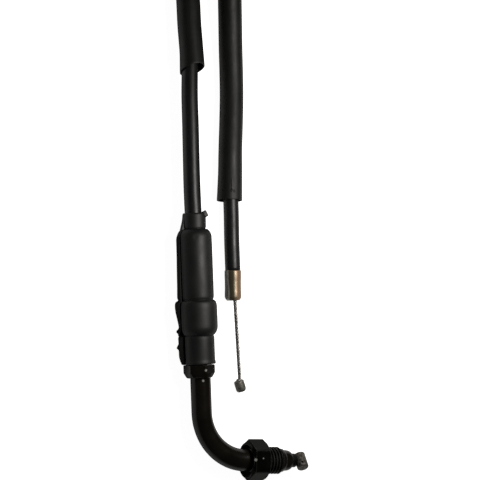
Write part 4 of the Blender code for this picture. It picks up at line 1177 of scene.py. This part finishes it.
# Loose nut on the pipe: a 14 mm hexagon with an M10 x 1.25 male thread, turned from steel and black zinc
# plated. Its back is bored out to sit over the pipe's bead, and its thread screws into the throttle housing.
NUT_START = 0.0005
NUT_SEAT = 0.0035
NUT_RECESS_R = 0.0057
NUT_BORE_R = 0.0038
NUT_FLATS = 0.0140
NUT_FACE_ANGLE = math.radians(90)
NUT_BACK_CHAMFER = (0.0016, 0.0010)  # across and along
NUT_FRONT_CHAMFER = (0.0006, 0.0003)
HEAD_FOOT = 0.0074
THREAD_START = 0.0076
NUT_FOOT = 0.01405
THREAD_R = 0.0051
THREAD_DEPTH = 0.00065
THREAD_PITCH = 0.00125
NUT_GLINTS = [
    ((0.00096, -0.04200, 0.01424), 0.00070),
    ((0.00409, -0.04170, 0.01442), 0.00036),
]  # painted glints: on its back edge, and on its upper flat
# Painted glints on the nut's plating.
painted_glints(black_zinc, NUT_GLINTS, GLINT_GREY)
nut_corner = NUT_FLATS / math.sqrt(3)
bm = bmesh.new()
turned(
    bm,
    [
        (THREAD_R + THREAD_RING, THREAD_START, 0),
        (THREAD_R + THREAD_RING, HEAD_FOOT, 0),
        (nut_corner - NUT_FRONT_CHAMFER[0], HEAD_FOOT, 0.0002),
        (nut_corner, HEAD_FOOT - NUT_FRONT_CHAMFER[1], 0.0002),
        (nut_corner, NUT_START + NUT_BACK_CHAMFER[1], 0.0002),
        (nut_corner - NUT_BACK_CHAMFER[0], NUT_START, 0.0002),
        (NUT_RECESS_R, NUT_START, 0.0003),
        (NUT_RECESS_R, NUT_SEAT, 0.0003),
        (NUT_BORE_R, NUT_SEAT, 0.0002),
        (NUT_BORE_R, NUT_FOOT, 0),
    ],
    steps=HEX_STEPS,
    closed=False,
)
hex_flats(bm, NUT_FLATS, NUT_FACE_ANGLE, NUT_START, HEAD_FOOT)
add_thread(bm, THREAD_R, THREAD_DEPTH, THREAD_PITCH, THREAD_START, NUT_FOOT)
nut = add_piece("loose_nut", bm, black_zinc, "swivel_nut", OUTLET, sharp=24)
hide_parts("swivel_nut")

# Bush in the pipe's end: black plastic, moulded, and pushed in from the front up to its head. Its rounded tip
# guides the wire.
BUSH_START = 0.0025
BUSH_END = 0.02135
BUSH_R = 0.0021
BUSH_HEAD_START = 0.0189
BUSH_HEAD_R = 0.0026
BUSH_BORE_R = 0.0011
bush_plastic = finish("bush_plastic", sheen=0.15)
bush_mottle = grain(bush_plastic, 0.0012)
tint(bush_plastic, bush_mottle, (0.0014, 0.0014, 0.0012), (0.0030, 0.0030, 0.0026))
polish(bush_plastic, bush_mottle, 0.38, 0.52)
bm = bmesh.new()
turned(
    bm,
    [
        (BUSH_R, BUSH_START, 0),
        (BUSH_R, BUSH_HEAD_START, 0),
        (BUSH_HEAD_R, BUSH_HEAD_START, 0),
        (BUSH_HEAD_R, BUSH_END, 0.0006),
        (BUSH_BORE_R, BUSH_END, 0.0003),
        (BUSH_BORE_R, BUSH_START, 0),
    ],
    steps=48,
)
bush = add_piece("wire_bush", bm, bush_plastic, "elbow", OUTLET)
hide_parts("pipe_liner")

# Throttle end of the wire: the same seven steel strands, straight through the bush into the nipple that is
# cast across their end. The throttle pulls it out.
NIPPLE_STATION = 0.02375
WIRE_TAIL = 0.0075
WIRE_PAST_MIDDLE = 0.00088  # of the nipple
bm = bmesh.new()
rope(bm, -WIRE_TAIL, NIPPLE_STATION + WIRE_PAST_MIDDLE)
throttle_wire = add_piece("throttle_strands", bm, steel, "throttle_wire", OUTLET, sharp=50)
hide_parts("throttle_wire")


# Barrel nipple: zinc, cast across the wire's end, with softened ends, the wire's own hole right through it
# and a sprue hole in its upper side.
def cut_away(bm, tools):
    """The bmesh less the tools, by Blender's exact boolean."""
    scene_objects = bpy.context.scene.collection.objects
    cut = []
    for part in [bm] + tools:
        mesh = bpy.data.meshes.new("cutting")
        part.to_mesh(mesh)
        part.free()
        cut.append(bpy.data.objects.new("cutting", mesh))
        scene_objects.link(cut[-1])
    for tool in cut[1:]:
        boolean = cut[0].modifiers.new("cut", "BOOLEAN")
        boolean.operation = "DIFFERENCE"
        boolean.solver = "EXACT"
        boolean.object = tool
    left = shaped(cut[0])
    for obj in cut:
        bpy.data.objects.remove(obj)
    return left


def drill(radii, depth, place, sides):
    """A round cutting tool along Z with its middle at a place, from one radius to the other."""
    tool = bmesh.new()
    bmesh.ops.create_cone(
        tool, cap_ends=True, segments=sides, radius1=radii[0], radius2=radii[1], depth=depth, matrix=place
    )
    return tool


NIPPLE_R = 0.0022
NIPPLE_LENGTH = 0.0061
NIPPLE_OFF = 0.00035  # of its middle from the wire
NIPPLE_TWIST = math.radians(-38)
NIPPLE_ROUNDING = 0.00045
NIPPLE_HOLE_R = (0.0009, 0.0009)
SPRUE_OUT = 0.00175
SPRUE_ANGLE = math.radians(-25)
SPRUE_R = (0.0004, 0.0008)
SPRUE_DEPTH = 0.0016
dull_zinc = finish("dull_zinc", metallic=0.8)
dull_skin = grain(dull_zinc, 0.0010, detail=5.0)
dull_pits = grain(dull_zinc, 0.0004)
tint(dull_zinc, dull_skin, (0.06, 0.055, 0.045), (0.22, 0.21, 0.19))
polish(dull_zinc, dull_pits, 0.38, 0.60)
relief(dull_zinc, dull_skin, 0.00015)
# Light edges: partly wear, partly a painted glint round the sprue hole's rim.
wear(dull_zinc, dull_skin, (0.30, 0.29, 0.28))
bm = bmesh.new()
half = NIPPLE_LENGTH / 2
turned(
    bm,
    [
        (0, -half, 0),
        (NIPPLE_R, -half, NIPPLE_ROUNDING),
        (NIPPLE_R, half, NIPPLE_ROUNDING),
        (0, half, 0),
    ],
    steps=56,
)
bmesh.ops.remove_doubles(bm, verts=bm.verts[:], dist=1e-7)
lie = (
    Matrix.Translation((0, 0, NIPPLE_STATION))
    @ Matrix.Rotation(NIPPLE_TWIST, 4, "Z")
    @ Matrix.Rotation(math.pi / 2, 4, "Y")
    @ Matrix.Translation((0, 0, -NIPPLE_OFF))
)
bmesh.ops.transform(bm, matrix=lie, verts=bm.verts[:])
bmesh.ops.recalc_face_normals(bm, faces=bm.faces[:])
sprue_place = (
    lie
    @ Matrix.Translation((0, 0, -SPRUE_OUT))
    @ Matrix.Rotation(SPRUE_ANGLE, 4, "Z")
    @ Matrix.Translation((0, NIPPLE_R, 0))
    @ Matrix.Rotation(-math.pi / 2, 4, "X")
)
wire_hole = drill(NIPPLE_HOLE_R, 4 * NIPPLE_R, Matrix.Translation((0, 0, NIPPLE_STATION)), 32)
bm = cut_away(bm, [wire_hole, drill(SPRUE_R, SPRUE_DEPTH, sprue_place, 24)])
nipple = add_piece("throttle_barrel_nipple", bm, dull_zinc, "throttle_wire", OUTLET)
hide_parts("throttle_nipple")
